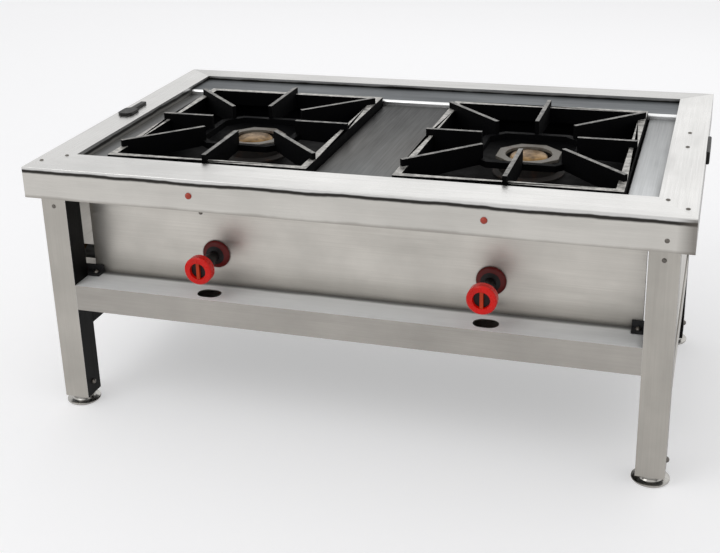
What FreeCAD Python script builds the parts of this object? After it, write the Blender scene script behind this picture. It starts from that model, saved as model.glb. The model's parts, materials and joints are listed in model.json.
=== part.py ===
import FreeCAD, Part
import math
import os
import Sketcher

# A stock pot range: a stainless top on four square legs, with two gas burners in
# wells, cast pan supports over them, and two valves behind a front panel.
# Millimetres. +X is to the right, +Y to the back, +Z up. The origin is on the floor,
# under the middle of the whole object.

doc = FreeCAD.newDocument("stock_pot_range")

SIZES = [
    # the top
    ("top_width", 1200, "rim, left edge to right edge"),
    ("top_depth", 760, "rim, front edge to rear edge"),
    ("rim_height", 500, "floor to the top of the rim"),
    ("rim_front_width", 90, "front member of the rim, seen from above"),
    ("rim_side_width", 65, "side members of the rim"),
    ("rim_rear_width", 55, "rear member of the rim"),
    ("rim_sheet", 1.5, "sheet of the rim, the deck and the panels"),
    ("apron_drop", 60, "height of the apron round the rim"),
    ("deck_drop", 18, "rim top down to the top of the deck"),
    ("ledge_rise", 10, "deck up to the rear ledge"),
    ("fold_drop", 30, "depth of the folded edges round the wells"),
    ("deck_lap", 10, "how far the deck runs on under the rim"),
    # the wells
    ("side_strip_width", 53, "deck beside a well, out to the rim"),
    ("rear_ledge_depth", 99, "ledge behind the wells, back to the rim"),
    ("well_inset", 100, "front edge of the rim to the front of a well"),
    ("plate_width", 152, "deck between the two wells"),
    ("pan_sheet", 1.2, "sheet of a spill pan"),
    ("pan_depth", 45, "top of the deck down to the floor of a spill pan"),
    ("pan_gap", 0.5, "a spill pan to the folded edges round it"),
    ("pan_brim_drop", 3, "deck top down to the brim of a spill pan"),
    ("support_bar", 30, "square bars under the spill pans"),
    ("support_bar_spread", 250, "front bar to rear bar, between centres"),
    # the legs
    ("leg_section", 50, "square tube of a leg"),
    ("leg_wall", 2, "wall of the leg tube and of the rails"),
    ("leg_side_inset", 22, "side edge of the rim to a leg"),
    ("leg_front_inset", 18, "front edge of the rim to the front legs"),
    ("leg_rear_inset", 140, "rear edge of the rim to the rear legs"),
    ("leg_plate", 3, "plate on top of a leg"),
    ("leg_plate_reach", 14, "how far that plate stands out round the leg"),
    ("leg_tab_width", 30, "tab of a front leg's plate, behind the apron"),
    ("leg_tab_height", 50, "height of that tab"),
    ("foot_flange_radius", 33, "round foot, at the floor"),
    ("foot_flange_height", 5, "height of that flange"),
    ("foot_boss_radius", 21, "boss above the flange"),
    ("foot_height", 16, "floor to the bottom of a leg"),
    ("foot_stud_radius", 6, "threaded stud of a foot"),
    ("foot_stud_height", 62, "floor to the top of the stud"),
    ("foot_plug_height", 20, "threaded plug in the bottom of a leg"),
    ("thread_gap", 0.06, "radial running clearance of the studs and spindles"),
    ("foot_travel", 20, "how far a foot screws out"),
    # the rails and the panels
    ("front_rail_top", 260, "floor to the top of the front and rear rails"),
    ("front_rail_height", 51, "height of the front and rear rails"),
    ("side_rail_section", 50, "square tube of the lower side rails"),
    ("panel_setback", 92, "front edge of the rim to the front panel"),
    ("panel_end_gap", 6, "leg to the end of the front panel, across"),
    ("panel_fold", 12, "folded edge at each end of the front panel"),
    ("side_panel_inset", 3, "outer face of the legs to the side panels"),
    ("slot_length", 46, "oval access hole in the front rail, across"),
    ("slot_width", 34, "the same hole, front to back"),
    ("slot_forward", 8, "middle of the rail's top to the middle of that hole, forwards"),
    ("bracket_reach", 24, "bracket at the end of the front rail, across"),
    ("bracket_height", 15, "the same bracket, up"),
    ("bracket_sheet", 4, "its thickness"),
    # the burners
    ("burner_cup_radius", 57, "outside of the burner's cup"),
    ("burner_cup_wall", 6, "its wall"),
    ("burner_flange_radius", 68, "flange that rests on the spill pan"),
    ("burner_top_drop", 26, "rim top down to the top of the burner ring"),
    ("burner_floor", 12, "bottom of the cup's inside, above the pan floor"),
    ("ring_across", 118, "octagonal burner ring, flat to flat"),
    ("ring_bore_radius", 44, "its round opening"),
    ("ring_thickness", 6, "its thickness"),
    ("cap_radius", 36, "brass cap"),
    ("cap_wall", 4, "its wall"),
    ("cap_port_radius", 1.6, "gas port in the cap"),
    ("cap_port_count", 20, "number of ports"),
    ("throat_radius", 28, "outside of the burner's throat"),
    ("throat_wall", 6, "its wall"),
    ("tube_radius", 21, "outside of the mixing tube"),
    ("tube_wall", 4, "its wall"),
    ("tube_mouth_gap", 14, "injector tip to the mouth of the mixing tube"),
    # the pan supports
    ("support_gap", 4, "pan support to the edge of its well, all round"),
    ("support_bar_width", 14, "frame of the pan support, seen from above"),
    ("support_drop", 1, "rim top down to the top of that frame"),
    ("support_frame_height", 31, "height of the frame"),
    ("fin_rise", 12, "level top of the fins above the rim top"),
    ("fin_thickness", 8, "thickness of the fins"),
    ("fin_count", 8, "number of fins"),
    ("fin_lap", 8, "how far the inner end of a fin runs over the ring"),
    ("hub_across", 196, "ring of the pan support, a square with cut corners"),
    ("hub_corner", 35, "how much of each side of the square a cut corner takes"),
    ("hub_bar", 12, "width of that ring"),
    ("hub_drop", 15, "rim top down to the top of that ring"),
    ("hub_height", 12, "height of that ring"),
    ("seat_gap", 0.3, "clearance under a piece that lifts off"),
    # the gas train
    ("knob_spacing", 522, "knob to knob"),
    ("knob_height", 322, "floor to the knobs' axis"),
    ("knob_face_radius", 26.5, "red face of a knob"),
    ("knob_reach", 88, "front panel to the face of a knob"),
    ("knob_head", 19, "depth of the wide front part of a knob"),
    ("knob_waist_radius", 13, "narrow part behind it"),
    ("knob_length", 53, "whole length of a knob"),
    ("knob_recess_radius", 14.5, "round recess in the face"),
    ("knob_recess", 6, "depth of that recess"),
    ("knob_grip", 6, "width of the bar across the recess"),
    ("bezel_radius", 27, "round bezel on the panel"),
    ("bezel_height", 9, "its height"),
    ("bezel_sleeve_radius", 10, "sleeve of the bezel, round the spindle"),
    ("spindle_radius", 4, "valve spindle"),
    ("valve_radius", 14, "valve body"),
    ("valve_length", 56, "valve body, behind the panel"),
    ("valve_stub_radius", 8, "stub of the valve in the manifold"),
    ("manifold_radius", 13.45, "outside of the manifold pipe"),
    ("manifold_wall", 2.6, "its wall"),
    ("manifold_drop", 34, "knobs' axis down to the manifold's axis"),
    ("manifold_overhang", 40, "manifold beyond the right valve"),
    ("inlet_inset", 20, "left side panel to the end of the manifold"),
    ("injector_radius", 7, "injector, outside"),
    ("injector_length", 16, "its length"),
    ("injector_bore_radius", 1, "its jet"),
    ("nipple_radius", 10.48, "gas inlet nipple, outside of its thread"),
    ("nipple_length", 20, "length of that thread"),
    ("nipple_bore_radius", 7, "its bore"),
    ("clip_width", 20, "manifold clip"),
    ("clip_sheet", 4, "thickness of the clip"),
    # small pieces
    ("stud_radius", 6, "domed stud on the apron"),
    ("stud_height", 5, "how far it stands out"),
    ("stud_drop", 31, "rim top down to the studs"),
    ("stud_spacing", 530, "stud to stud"),
    ("screw_radius", 2, "shank of the small screws"),
    ("screw_head_radius", 4, "their heads"),
    ("screw_head_height", 2, "height of the heads"),
    ("screw_length", 9, "their length under the head"),
    ("hole_gap", 0.2, "radial clearance of the screws in the sheets"),
    ("plate_screw_behind", 79, "front edge of the rim to the screw behind a front leg"),
    ("plate_screw_inward", 50, "side edge of the rim to that screw"),
    ("corner_screw_behind", 43, "front edge of the rim to the screw beside a front leg"),
    ("corner_screw_inward", 17, "side edge of the rim to that screw"),
    ("grip_screw_front", 372, "front edge of the rim to the first screw beside the bar"),
    ("grip_screw_rear", 462, "front edge of the rim to the second screw beside the bar"),
    ("grip_screw_inward", 34, "side edge of the rim to those screws"),
    ("apron_screw_inward", 44, "side edge of the rim to the screw in the apron"),
    ("apron_screw_drop", 40, "rim top down to that screw"),
    ("leg_screw_drop", 81, "rim top down to the screws in the front legs"),
    ("panel_screw_aside", 27, "left knob's axis to the screw in the front panel, across"),
    ("panel_screw_rise", 80, "the same screw above the knobs' axis"),
    ("lock_bolt_radius", 3, "lock bolt near the bottom of a leg"),
    ("lock_bolt_head_radius", 5.5, "its head"),
    ("lock_bolt_head_height", 5, "height of its head"),
    ("lock_bolt_level", 41, "floor to the lock bolts"),
    ("grip_length", 100, "dark bar on the right edge of the rim"),
    ("grip_centre", 399, "front edge of the rim to the middle of that bar"),
    ("grip_thickness", 6, "how far it stands out"),
    ("grip_drop", 24, "how far it reaches down the apron"),
    ("catch_front", 350, "front edge of the rim to the dark catch on the left side"),
    ("catch_head_length", 46, "wide front part of the catch"),
    ("catch_head_width", 32, "its width"),
    ("catch_length", 95, "whole length of the catch"),
    ("catch_arm_width", 12, "narrow rear part of the catch"),
    ("catch_inset", 11, "left edge of the rim to the catch"),
    ("catch_thickness", 6, "how far the catch stands above the rim"),
    ("nut_strip_width", 43, "strip under the rim that takes the screws beside the bar"),
    ("nut_strip_sheet", 4, "its thickness"),
]

dims = doc.addObject("Spreadsheet::Sheet", "dims")
for row, (alias, amount, note) in enumerate(SIZES, start=1):
    dims.set(f"A{row}", note)
    dims.set(f"B{row}", str(amount))
    dims.setAlias(f"B{row}", alias)
doc.recompute()

# Places worked out from the driving sizes, as formulas.
HALF_WIDTH = "(dims.top_width / 2)"
FRONT = "(-(dims.top_depth - dims.stud_height) / 2)"
REAR = f"({FRONT} + dims.top_depth)"
MIDDLE = f"({FRONT} + dims.top_depth / 2)"
RIM_TOP = "dims.rim_height"
RIM_UNDER = "(dims.rim_height - dims.rim_sheet)"
APRON_BOTTOM = "(dims.rim_height - dims.apron_drop)"
DECK = "(dims.rim_height - dims.deck_drop)"
DECK_UNDER = f"({DECK} - dims.rim_sheet)"
LEDGE = f"({DECK} + dims.ledge_rise)"
LEDGE_UNDER = f"({LEDGE} - dims.rim_sheet)"
PAN_FLOOR = f"({DECK} - dims.pan_depth)"
PAN_UNDER = f"({PAN_FLOOR} - dims.pan_sheet)"
OPENING_SIDE = f"({HALF_WIDTH} - dims.rim_side_width)"
OPENING_FRONT = f"({FRONT} + dims.rim_front_width)"
OPENING_REAR = f"({REAR} - dims.rim_rear_width)"
WELL_FRONT = f"({FRONT} + dims.well_inset)"
WELL_REAR = f"({OPENING_REAR} - dims.rear_ledge_depth)"
WELL_MIDDLE = f"(({WELL_FRONT} + {WELL_REAR}) / 2)"
HALF_DEPTH = f"(({WELL_REAR} - {WELL_FRONT}) / 2)"
WELL_INNER = "(dims.plate_width / 2)"
WELL_OUTER = f"({OPENING_SIDE} - dims.side_strip_width)"
BURNER = f"(({WELL_INNER} + {WELL_OUTER}) / 2)"
HALF_WELL = f"(({WELL_OUTER} - {WELL_INNER}) / 2)"
LEG_OUTER = f"({HALF_WIDTH} - dims.leg_side_inset)"
LEG_INNER = f"({LEG_OUTER} - dims.leg_section)"
LEG_MIDDLE = f"({LEG_OUTER} - dims.leg_section / 2)"
LEG_FRONT = f"({FRONT} + dims.leg_front_inset)"
LEG_FRONT_BACK = f"({LEG_FRONT} + dims.leg_section)"
LEG_REAR_BACK = f"({REAR} - dims.leg_rear_inset)"
LEG_REAR = f"({LEG_REAR_BACK} - dims.leg_section)"
PANEL = f"({FRONT} + dims.panel_setback)"
PANEL_BACK = f"({PANEL} + dims.rim_sheet)"
RAIL_TOP = "dims.front_rail_top"
RAIL_BOTTOM = "(dims.front_rail_top - dims.front_rail_height)"
KNOB = "(dims.knob_spacing / 2)"
KNOB_LEVEL = "dims.knob_height"
MANIFOLD_LEVEL = "(dims.knob_height - dims.manifold_drop)"
VALVE_BACK = f"({PANEL_BACK} + dims.valve_length)"
MANIFOLD_Y = f"({PANEL_BACK} + dims.valve_length / 2)"
SIDE_PANEL = f"({LEG_OUTER} - dims.side_panel_inset)"
STUD_LEVEL = "(dims.rim_height - dims.stud_drop)"
INLET_END = f"({HALF_WIDTH} + dims.grip_thickness)"
BURNER_TOP = "(dims.rim_height - dims.burner_top_drop)"
CUP_TOP = f"({BURNER_TOP} - dims.ring_thickness)"
CUP_FLOOR = f"({PAN_FLOOR} + dims.burner_floor)"
SIDES = (("left", -1), ("right", 1))
FAR = "2000"

PLANES = {"X": ("YZ_Plane", 1), "Y": ("XZ_Plane", -1), "Z": ("XY_Plane", 1)}


def size(formula):
    """The number that a formula gives with the sizes in the sheet."""
    return float(dims.evalExpression(str(formula)))


def mirrored(sense, formula):
    """The same distance to the left or to the right of the middle."""
    return f"({sense} * {formula})"


def new_body(label):
    body = doc.addObject("PartDesign::Body", label)
    body.Label = label
    return body


def place(body, x="0", y="0", z="0"):
    """Bind a body's place to formulas."""
    for letter, formula in (("x", x), ("y", y), ("z", z)):
        body.setExpression(f"Placement.Base.{letter}", str(formula))


def aim(body, x, y, z):
    """Turn a body so that its own Z points along a direction."""
    body.Placement.Rotation = FreeCAD.Rotation(FreeCAD.Vector(0, 0, 1), FreeCAD.Vector(x, y, z))


def new_sketch(body, axis, level, about=None):
    """A sketch square to an axis, at a level along it, or turned about its own upright."""
    role, sense = PLANES[axis]
    sketch = body.newObject("Sketcher::SketchObject", body.Name + "_sketch")
    plane = [item for item in body.Origin.OriginFeatures if item.Role == role][0]
    sketch.AttachmentSupport = [(plane, "")]
    sketch.MapMode = "FlatFace"
    if about is not None:
        upright = FreeCAD.Vector(0, 1, 0)
        sketch.AttachmentOffset = FreeCAD.Placement(FreeCAD.Vector(), FreeCAD.Rotation(upright, 1))
        sketch.setExpression("AttachmentOffset.Rotation.Angle", str(about))
    sketch.setExpression("AttachmentOffset.Base.z", f"{sense} * ({level})")
    return sketch


def pin_point(sketch, shape, end, x, y):
    """Hold one point of a sketch at a place given by two formulas."""
    for kind, formula in (("DistanceX", x), ("DistanceY", y)):
        number = sketch.addConstraint(Sketcher.Constraint(kind, -1, 1, shape, end, size(formula)))
        sketch.setExpression(f"Constraints[{number}]", str(formula))


def draw_outline(sketch, corners):
    """A closed outline through corners, each a pair of formulas."""
    places = [FreeCAD.Vector(size(x), size(y), 0) for x, y in corners]
    first = sketch.GeometryCount
    for start, end in zip(places, places[1:] + places[:1]):
        sketch.addGeometry(Part.LineSegment(start, end), False)
    last = sketch.GeometryCount - 1
    for number, (x, y) in enumerate(corners):
        edge = first + number
        before = edge - 1 if number else last
        sketch.addConstraint(Sketcher.Constraint("Coincident", before, 2, edge, 1))
        pin_point(sketch, edge, 1, x, y)


def draw_circle(sketch, x, y, radius):
    """A circle whose centre and radius are formulas."""
    centre = FreeCAD.Vector(size(x), size(y), 0)
    upward = FreeCAD.Vector(0, 0, 1)
    shape = sketch.addGeometry(Part.Circle(centre, upward, size(radius)), False)
    pin_point(sketch, shape, 3, x, y)
    number = sketch.addConstraint(Sketcher.Constraint("Radius", shape, size(radius)))
    sketch.setExpression(f"Constraints[{number}]", str(radius))


def rectangle(x_low, x_high, y_low, y_high):
    return [(x_low, y_low), (x_high, y_low), (x_high, y_high), (x_low, y_high)]


def cut_square(across, cut):
    """Corners of a square about the origin, each of them cut off."""
    flat = f"({across} / 2)"
    rest = f"({across} / 2 - {cut})"
    offsets = [(flat, rest), (rest, flat)]
    signs = [(1, 1), (-1, 1), (-1, -1), (1, -1)]
    corners = []
    for number, (sign_x, sign_y) in enumerate(signs):
        pair = offsets if number % 2 == 0 else offsets[::-1]
        for along, up in pair:
            corners.append((f"({sign_x} * {along})", f"({sign_y} * {up})"))
    return corners


def extrude(body, kind, axis, outlines, low, high, circles=(), about=None):
    """A Pad or a Pocket between two levels along an axis."""
    sketch = new_sketch(body, axis, f"(({low}) + ({high})) / 2", about)
    for corners in outlines:
        draw_outline(sketch, corners)
    for x, y, radius in circles:
        draw_circle(sketch, x, y, radius)
    feature = body.newObject("PartDesign::" + kind, f"{body.Name}_{kind.lower()}")
    feature.Profile = sketch
    feature.SideType = "Symmetric"
    feature.setExpression("Length", f"({high}) - ({low})")
    doc.recompute()
    return feature


def spin(body, kind, outline):
    """A Revolution or a Groove: pairs of radius and height, turned about the body's own Z."""
    sketch = new_sketch(body, "Y", "0")
    draw_outline(sketch, outline)
    feature = body.newObject("PartDesign::" + kind, f"{body.Name}_{kind.lower()}")
    feature.Profile = sketch
    feature.ReferenceAxis = (sketch, ["V_Axis"])
    feature.Angle = 360
    doc.recompute()
    return feature


def prism(label, axis, corners, low, high, circles=()):
    """A sub-part of one constant section."""
    body = new_body(label)
    extrude(body, "Pad", axis, [corners], low, high, circles)
    return body


def square_tube(label, axis, first, second, low, high, wall="dims.leg_wall"):
    """A rectangular tube along an axis. first and second are its limits across."""
    inner_first = (f"({first[0]} + {wall})", f"({first[1]} - {wall})")
    inner_second = (f"({second[0]} + {wall})", f"({second[1]} - {wall})")
    body = new_body(label)
    outlines = [rectangle(*first, *second), rectangle(*inner_first, *inner_second)]
    extrude(body, "Pad", axis, outlines, low, high)
    return body


def group(label, pieces):
    """Several separate solids in one sub-part."""
    compound = doc.addObject("Part::Compound", label)
    compound.Label = label
    compound.Links = pieces
    return compound


# ---------------------------------------------------------------- the rim

def rim_member(label, length, width, near, far, inward, x, y, holes=()):
    """A folded member of the rim, mitred at both ends.

    It is drawn with its apron at the front and its length along X. Then it is turned about Z,
    so that its width runs inward from the apron.
    near and far are the widths of the members that it meets at its left and right end.
    """
    top, under, sheet = RIM_TOP, RIM_UNDER, "dims.rim_sheet"
    body = new_body(label)
    section = [
        ("0", APRON_BOTTOM), ("0", top), (width, top), (width, DECK),
        (f"({width} - {sheet})", DECK), (f"({width} - {sheet})", under),
        (sheet, under), (sheet, APRON_BOTTOM),
    ]
    extrude(body, "Pad", "X", [section], f"(-{length} / 2)", f"({length} / 2)")
    left, right = f"(-{length} / 2)", f"({length} / 2)"
    left_mitre = [(left, "0"), (f"({left} + {near})", width), (left, width)]
    right_mitre = [(right, "0"), (right, width), (f"({right} - {far})", width)]
    extrude(body, "Pocket", "Z", [left_mitre, right_mitre], "0", FAR)
    for axis, along, across, radius in holes:
        extrude(body, "Pocket", axis, [], *HOLE_REACH[axis], [(along, across, radius)])
    about = FreeCAD.Vector(0, 0, 1)
    heading = math.degrees(math.atan2(-inward[0], inward[1]))
    body.Placement.Rotation = FreeCAD.Rotation(about, heading)
    place(body, x, y)
    return body


# Holes run through the rim's top (along Z) or through its apron (along Y).
HOLE_REACH = {"Z": (f"({RIM_TOP} - 5)", f"({RIM_TOP} + 5)"), "Y": ("-5", "5")}

# Screws in the top of a side member: how far behind the front edge, how far in from the side.
PLATE_SCREWS = [
    ("dims.plate_screw_behind", "dims.plate_screw_inward"),
    ("dims.corner_screw_behind", "dims.corner_screw_inward"),
]
GRIP_SCREWS = [
    ("dims.grip_screw_front", "dims.grip_screw_inward"),
    ("dims.grip_screw_rear", "dims.grip_screw_inward"),
]
SIDE_SCREWS = {-1: PLATE_SCREWS, 1: PLATE_SCREWS + GRIP_SCREWS}
APRON_SCREW_X = f"({HALF_WIDTH} - dims.apron_screw_inward)"
APRON_SCREW = (APRON_SCREW_X, "(dims.rim_height - dims.apron_screw_drop)")
STUDS = [f"({sense} * dims.stud_spacing / 2)" for _, sense in SIDES]
SCREW_HOLE = "(dims.screw_radius + dims.hole_gap)"
BOLT_HOLE = "(dims.lock_bolt_radius + dims.hole_gap)"


def build_rim():
    """Four folded members round the deck."""
    hole = SCREW_HOLE
    long, deep = "dims.top_width", "dims.top_depth"
    front, rear, side = "dims.rim_front_width", "dims.rim_rear_width", "dims.rim_side_width"
    apron_holes = [("Y", *APRON_SCREW, hole)]
    apron_holes += [("Y", x, STUD_LEVEL, hole) for x in STUDS]
    rim_member("rim_front", long, front, side, side, (0, 1), "0", FRONT, apron_holes)
    rim_member("rim_rear", long, rear, side, side, (0, -1), "0", REAR)
    ahead = "dims.top_depth / 2"
    left_holes = [("Z", f"({ahead} - {behind})", inward, hole) for behind, inward in SIDE_SCREWS[-1]]
    right_holes = [("Z", f"({behind} - {ahead})", inward, hole) for behind, inward in SIDE_SCREWS[1]]
    rim_member("rim_left", deep, side, rear, front, (1, 0), f"-{HALF_WIDTH}", MIDDLE, left_holes)
    rim_member("rim_right", deep, side, front, rear, (-1, 0), HALF_WIDTH, MIDDLE, right_holes)


# ---------------------------------------------------------------- the deck and the wells

def build_deck():
    """Folded plates round the wells, hung under the rim's inner lip."""
    sheet, lap = "dims.rim_sheet", "dims.deck_lap"
    fold = f"({DECK} - dims.fold_drop)"
    inner, outer = WELL_INNER, WELL_OUTER
    middle = [
        (f"(-{inner})", fold), (f"(-{inner} + {sheet})", fold), (f"(-{inner} + {sheet})", DECK_UNDER),
        (f"({inner} - {sheet})", DECK_UNDER), (f"({inner} - {sheet})", fold), (inner, fold),
        (inner, DECK), (f"(-{inner})", DECK),
    ]
    prism("middle_plate", "Y", middle, WELL_FRONT, WELL_REAR)
    for name, sense in SIDES:
        edge = f"({OPENING_SIDE} + {lap})"
        strip = [
            (outer, fold), (outer, DECK), (edge, DECK), (edge, DECK_UNDER),
            (f"({outer} + {sheet})", DECK_UNDER), (f"({outer} + {sheet})", fold),
        ]
        strip = [(mirrored(sense, x), z) for x, z in strip]
        prism(f"side_strip_{name}", "Y", strip, WELL_FRONT, WELL_REAR)
    reach = f"({OPENING_SIDE} + {lap})"
    front = [
        (f"({OPENING_FRONT} - {lap})", DECK_UNDER), (f"({WELL_FRONT} - {sheet})", DECK_UNDER),
        (f"({WELL_FRONT} - {sheet})", fold), (WELL_FRONT, fold), (WELL_FRONT, DECK),
        (f"({OPENING_FRONT} - {lap})", DECK),
    ]
    prism("front_strip", "X", front, f"(-{reach})", reach)
    # The lip of the rim reaches down to the deck, so the ledge stands inside it.
    back = f"({OPENING_REAR} - dims.seat_gap)"
    ledge = [
        (WELL_REAR, fold), (WELL_REAR, LEDGE), (back, LEDGE), (back, DECK_UNDER),
        (f"({back} - {sheet})", DECK_UNDER), (f"({back} - {sheet})", LEDGE_UNDER),
        (f"({WELL_REAR} + {sheet})", LEDGE_UNDER), (f"({WELL_REAR} + {sheet})", fold),
    ]
    end = f"({OPENING_SIDE} - dims.seat_gap)"
    body = prism("rear_ledge", "X", ledge, f"(-{end})", end)
    # The fold stops beside the wells, clear of the rear legs.
    for _, sense in SIDES:
        limits = [mirrored(sense, f"({WELL_OUTER} + {sheet})"), mirrored(sense, f"({end} + 5)")]
        limits.sort(key=size)
        beside = rectangle(*limits, f"({WELL_REAR} - 5)", f"({back} + 5)")
        extrude(body, "Pocket", "Z", [beside], f"({fold} - 5)", DECK_UNDER)


def build_spill_pan(name, sense):
    """A tray that fills the well, with a hole for the burner's throat."""
    gap, sheet = "dims.pan_gap", "dims.pan_sheet"
    low = f"({WELL_FRONT} + {gap})"
    high = f"({WELL_REAR} - {gap})"
    centre = mirrored(sense, BURNER)
    half = f"({HALF_WELL} - {gap})"
    brim = f"({DECK} - dims.pan_brim_drop)"
    body = new_body(f"spill_pan_{name}")
    outside = rectangle(f"({centre} - {half})", f"({centre} + {half})", low, high)
    inside = rectangle(
        f"({centre} - {half} + {sheet})", f"({centre} + {half} - {sheet})",
        f"({low} + {sheet})", f"({high} - {sheet})")
    extrude(body, "Pad", "Z", [outside], PAN_UNDER, brim)
    extrude(body, "Pocket", "Z", [inside], PAN_FLOOR, f"({brim} + 5)")
    hole = (centre, WELL_MIDDLE, "(dims.throat_radius + 2)")
    extrude(body, "Pocket", "Z", [], f"({PAN_UNDER} - 5)", f"({PAN_FLOOR} + 5)", [hole])


def build_support_bars():
    """Two square bars under the spill pans, from one side panel to the other."""
    side, half = "dims.support_bar", "(dims.support_bar / 2)"
    reach = f"({SIDE_PANEL} - dims.rim_sheet)"
    for name, sense in (("front", -1), ("rear", 1)):
        centre = f"({WELL_MIDDLE} + {sense} * dims.support_bar_spread / 2)"
        across = (f"({centre} - {half})", f"({centre} + {half})")
        upright = (f"({PAN_UNDER} - {side})", PAN_UNDER)
        square_tube(f"support_bar_{name}", "X", across, upright, f"(-{reach})", reach)


# ---------------------------------------------------------------- the legs and the feet

LEGS = [
    ("front_left", -1, LEG_FRONT, RIM_UNDER),
    ("front_right", 1, LEG_FRONT, RIM_UNDER),
    ("rear_left", -1, LEG_REAR, DECK_UNDER),
    ("rear_right", 1, LEG_REAR, DECK_UNDER),
]
LEG_SCREW_LEVEL = "(dims.rim_height - dims.leg_screw_drop)"


def leg_limits(sense):
    """Lower and higher X of a leg."""
    inner, outer = mirrored(sense, LEG_INNER), mirrored(sense, LEG_OUTER)
    return (outer, inner) if sense < 0 else (inner, outer)


def build_leg(name, sense, y, top):
    """A square tube with its lock bolt's hole and, on the front legs, a screw hole."""
    across = leg_limits(sense)
    depth = (y, f"({y} + dims.leg_section)")
    body = square_tube(f"leg_{name}", "Z", across, depth, "dims.foot_height", f"({top} - dims.leg_plate)")
    bolt = (f"({y} + dims.leg_section / 2)", "dims.lock_bolt_level", BOLT_HOLE)
    extrude(body, "Pocket", "X", [], f"({across[1]} - 10)", f"({across[1]} + 10)", [bolt])
    if name.startswith("front"):
        screw = (mirrored(sense, LEG_MIDDLE), LEG_SCREW_LEVEL, SCREW_HOLE)
        extrude(body, "Pocket", "Y", [], f"({y} - 10)", f"({y} + 10)", [screw])


def build_foot(name, sense, y):
    """A round foot: flange, boss and threaded stud. It screws down out of the leg."""
    body = new_body(f"foot_{name}")
    flange, height = "dims.foot_flange_radius", "dims.foot_flange_height"
    boss, top = "dims.foot_boss_radius", "(dims.foot_height - dims.seat_gap)"
    stud, end = "dims.foot_stud_radius", "dims.foot_stud_height"
    outline = [
        ("0", "0"), (f"({flange} - 2)", "0"), (flange, "2"), (flange, f"({height} - 1)"),
        (f"({flange} - 1.5)", height), (f"({boss} + 2)", f"({height} + 1.5)"), (boss, f"({height} + 4)"),
        (boss, f"({top} - 1)"), (f"({boss} - 1)", top), (stud, top), (stud, f"({end} - 1)"),
        (f"({stud} - 1)", end), ("0", end),
    ]
    spin(body, "Revolution", outline)
    place(body, mirrored(sense, LEG_MIDDLE), f"({y} + dims.leg_section / 2)")


def build_leg_plug(sense, y):
    """A threaded plug in the bottom of a leg, which carries the foot."""
    side = "(dims.leg_section - 2 * dims.leg_wall)"
    block = doc.addObject("Part::Box", "leg_plug_block")
    block.setExpression("Length", side)
    block.setExpression("Width", side)
    block.setExpression("Height", "dims.foot_plug_height")
    centre_x = mirrored(sense, LEG_MIDDLE)
    place(block, f"({centre_x} - {side} / 2)", f"({y} + dims.leg_wall)", "dims.foot_height")
    thread = doc.addObject("Part::Cylinder", "leg_plug_thread")
    thread.setExpression("Radius", "dims.foot_stud_radius + dims.thread_gap")
    thread.setExpression("Height", "dims.foot_plug_height + 20")
    place(thread, centre_x, f"({y} + dims.leg_section / 2)", "dims.foot_height - 10")
    plug = doc.addObject("Part::Cut", "leg_plug")
    plug.Base = block
    plug.Tool = thread
    return plug


def build_leg_plate(name, sense, y, top):
    """A plate on top of a leg. On a front leg a tab hangs from it behind the apron."""
    reach = "dims.leg_plate_reach"
    low, high = leg_limits(sense)
    in_front = name.startswith("front")
    front = f"({FRONT} + dims.rim_sheet)" if in_front else f"({y} - {reach})"
    across = (f"({low} - {reach})", f"({high} + {reach})")
    plate = new_body(f"leg_plate_{name}")
    outline = rectangle(*across, front, f"({y} + dims.leg_section + {reach})")
    extrude(plate, "Pad", "Z", [outline], f"({top} - dims.leg_plate)", top)
    if in_front:
        middle, half = mirrored(sense, LEG_MIDDLE), "(dims.leg_tab_width / 2)"
        back = f"({front} + dims.leg_plate)"
        tab = rectangle(f"({middle} - {half})", f"({middle} + {half})", front, back)
        extrude(plate, "Pad", "Z", [tab], f"({top} - dims.leg_tab_height)", top)
        holes = [
            (mirrored(sense, f"({HALF_WIDTH} - {inward})"), f"({FRONT} + {behind})", SCREW_HOLE)
            for behind, inward in PLATE_SCREWS]
        extrude(plate, "Pocket", "Z", [], f"({top} - 2 * dims.leg_plate)", f"({top} + 5)", holes)
        if sense > 0:
            hole = (*APRON_SCREW, SCREW_HOLE)
            extrude(plate, "Pocket", "Y", [], f"({front} - 5)", f"({back} + 5)", [hole])
    return plate


def build_legs():
    plugs, plates = [], []
    for name, sense, y, top in LEGS:
        build_leg(name, sense, y, top)
        build_foot(name, sense, y)
        plugs.append(build_leg_plug(sense, y))
        plates.append(build_leg_plate(name, sense, y, top))
    group("leg_plugs", plugs)
    group("leg_plates", plates)


# ---------------------------------------------------------------- the rails and the panels

BRACKET_BOLT_Y = f"({LEG_FRONT_BACK} + 11)"
BRACKET_BOLT_X = f"({LEG_INNER} - dims.bracket_reach / 2)"
PANEL_TOP = f"({DECK_UNDER} - dims.leg_plate)"
PANEL_SCREW_X = f"(-{KNOB} - dims.panel_screw_aside)"
PANEL_SCREW = (PANEL_SCREW_X, "(dims.knob_height + dims.panel_screw_rise)")


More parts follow.
